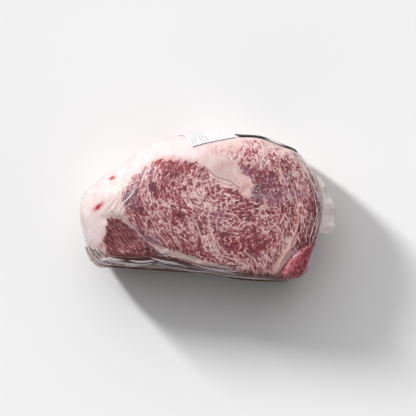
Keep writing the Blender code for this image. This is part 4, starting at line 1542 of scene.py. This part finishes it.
@dataclass
class Studio:
    """Pale floor, a soft key light from the back left, a glow from behind and one from above."""

    plan: Plan
    camera_place: tuple[float, float, float] = (0.00025, -0.00325, 1.45)
    lens: float = 120.0
    floor_size: float = 6.0
    floor_drop: float = 0.0002  # so that the floor and the meat's foot don't coincide
    floor_tone: float = 0.88
    key_place: tuple[float, float, float] = (-0.605, 0.564, 0.590)
    key_size: tuple[float, float] = (0.10, 0.38)
    # Share of the light on the floor that comes from the key light
    key_share: float = 0.50
    glows: tuple[Glow, ...] = (Glow(100.0, 45.0, 6.0, 0.25), Glow(85.0, 60.0, 3.0, 0.25))
    # Light that the fat cap throws on the floor: the middle of it, which way it spreads, its share, its reach
    bounce_place: tuple[float, float, float] = (-0.055, 0.072, 0.0)
    bounce_bearing: float = 25.0
    bounce_share: float = 0.20
    bounce_reach: float = 0.055

    def build(self) -> None:
        """Makes the floor, the lights and the camera."""
        scene = bpy.context.scene
        scene.view_settings.view_transform = "Standard"
        scene.view_settings.look = "None"
        key = Vector(self.plan.to_frame(np.array([self.key_place]))[0])
        self.add_floor(key)
        self.add_surround(scene)
        self.add_key(key)
        camera = bpy.data.cameras.new("camera")
        camera.lens = self.lens
        camera.sensor_width = 36.0
        camera.clip_start = 0.05
        eye = bpy.data.objects.new("camera", camera)
        eye.location = self.plan.to_frame(np.array([self.camera_place]))[0]
        scene.collection.objects.link(eye)
        scene.camera = eye

    def add_floor(self, key: Vector) -> None:
        """Makes the floor, which is painted darker towards the key light so that it looks even."""
        material, add = new_material("studio_floor_matt_paint")
        place = add(Step.PLACE)
        away = add(Step.VECTOR_SUBTRACT, place, key)
        ratio = add(Step.DIVIDE, add(Step.DOT, away, -key.normalized()), add(Step.DOT, away, away))
        light = add(Step.MULTIPLY_ADD, ratio, self.key_share * key.length, 1 - self.key_share)
        off = add(Step.VECTOR_SUBTRACT, place, self.bounce_place)
        turn = math.radians(self.bounce_bearing)
        # The bounce reaches twice as far along its bearing as across it
        along, across = (0.5 * math.cos(turn), 0.5 * math.sin(turn), 0.0), (-math.sin(turn), math.cos(turn), 0.0)
        far = add(Step.LENGTH, add(Step.JOIN, add(Step.DOT, off, along), add(Step.DOT, off, across)))
        fade = add(Step.EXPONENT, add(Step.MULTIPLY, far, -1 / self.bounce_reach))
        light = add(Step.MULTIPLY, light, add(Step.MULTIPLY_ADD, fade, self.bounce_share, 1.0))
        add(Step.SURFACE, add(Step.DIFFUSE, add(Step.DIVIDE, self.floor_tone, light, use_clamp=True)))
        bpy.ops.mesh.primitive_plane_add(size=self.floor_size, location=(0.0, 0.0, -self.floor_drop))
        floor = bpy.context.object
        floor.name = "floor"
        floor.data.materials.append(material)

    def add_surround(self, scene: bpy.types.Scene) -> None:
        """Makes the glows that surround the roast."""
        world = bpy.data.worlds.new("surround")
        world.use_nodes = True
        add = partial(add_node, world.node_tree)
        ahead = add(Step.AHEAD)
        total: Any = 0.0
        for glow in self.glows:
            bearing, height = math.radians(glow.bearing), math.radians(glow.height)
            middle = (math.cos(height) * math.cos(bearing), math.cos(height) * math.sin(bearing), math.sin(height))
            # Share of the glow's light that counts on a level floor
            level = math.sin(height) * (1 - 1 / glow.focus) * 2 / glow.focus
            power = add(Step.MULTIPLY_ADD, add(Step.DOT, ahead, middle), glow.focus, -glow.focus)
            total = add(Step.MULTIPLY_ADD, add(Step.EXPONENT, power), glow.share / level, total)
        background = world.node_tree.nodes["Background"]
        world.node_tree.links.new(total, background.inputs["Strength"])
        background.inputs["Color"].default_value = (1.0, 1.0, 1.0, 1.0)
        scene.world = world

    def add_key(self, key: Vector) -> None:
        """Makes the key light, an upright softbox whose strength doesn't fall off with distance."""
        light = bpy.data.lights.new("key", "AREA")
        light.shape = "ELLIPSE"
        light.size, light.size_y = self.key_size
        light.energy = 1.0
        light.use_nodes = True
        tree = light.node_tree
        strength = self.key_share * KEY_UNIT * key.length / key.z
        tree.links.new(add_node(tree, Step.FALLOFF, strength), tree.nodes["Emission"].inputs["Strength"])
        lamp = bpy.data.objects.new("key", light)
        lamp.location = key
        lamp.rotation_euler = (-key).to_track_quat("-Z", "Y").to_euler()
        bpy.context.scene.collection.objects.link(lamp)


def packed_surface(name: str) -> BVHTree:
    """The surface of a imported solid, to lay other pieces on."""
    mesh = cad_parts[name].data
    return BVHTree.FromPolygons([v.co for v in mesh.vertices], [p.vertices[:] for p in mesh.polygons])


def main() -> None:
    """Builds the roast's looks and the studio."""
    logging.basicConfig(level=logging.INFO, format="%(name)s: %(message)s")
    plan = Plan.from_frame(RoastForm())
    LOG.info("plan shift %s mm", [round(value / MM, 2) for value in plan.shift])
    Studio(plan).build()
    Beef(plan).build()
    film = ClingFilm(plan).build()
    wall = packed_surface("bagged_beef")
    tail = FilmEnd(
        plan,
        name="film_tail",
        bearings=(20.5, -13.0),
        root_heights=(0.068, 0.058),
        droop=(18.0, 34.0),
        reaches=(0.003, 0.004, 0.007, 0.0135, 0.0157, 0.016),
        waves=3.5,
        wave_height=0.0022,
    )
    tail.build(wall, PlyFilm().material())
    corner = FilmEnd(
        plan,
        name="film_gather",
        bearings=(198.0, 212.0),
        root_heights=(0.050, 0.022),
        droop=(30.0, 10.0),
        reaches=(0.002, 0.004, 0.0055, 0.0055, 0.003),
        waves=2.5,
        wave_height=0.0012,
    )
    gather = corner.build(wall, PlyFilm("shrink_film_gathered", "#EED6D2", 0.74, 0.08).material())
    FilmFolds(plan).build([film, gather])
    Labels().dress()


if __name__ == "__main__":
    main()
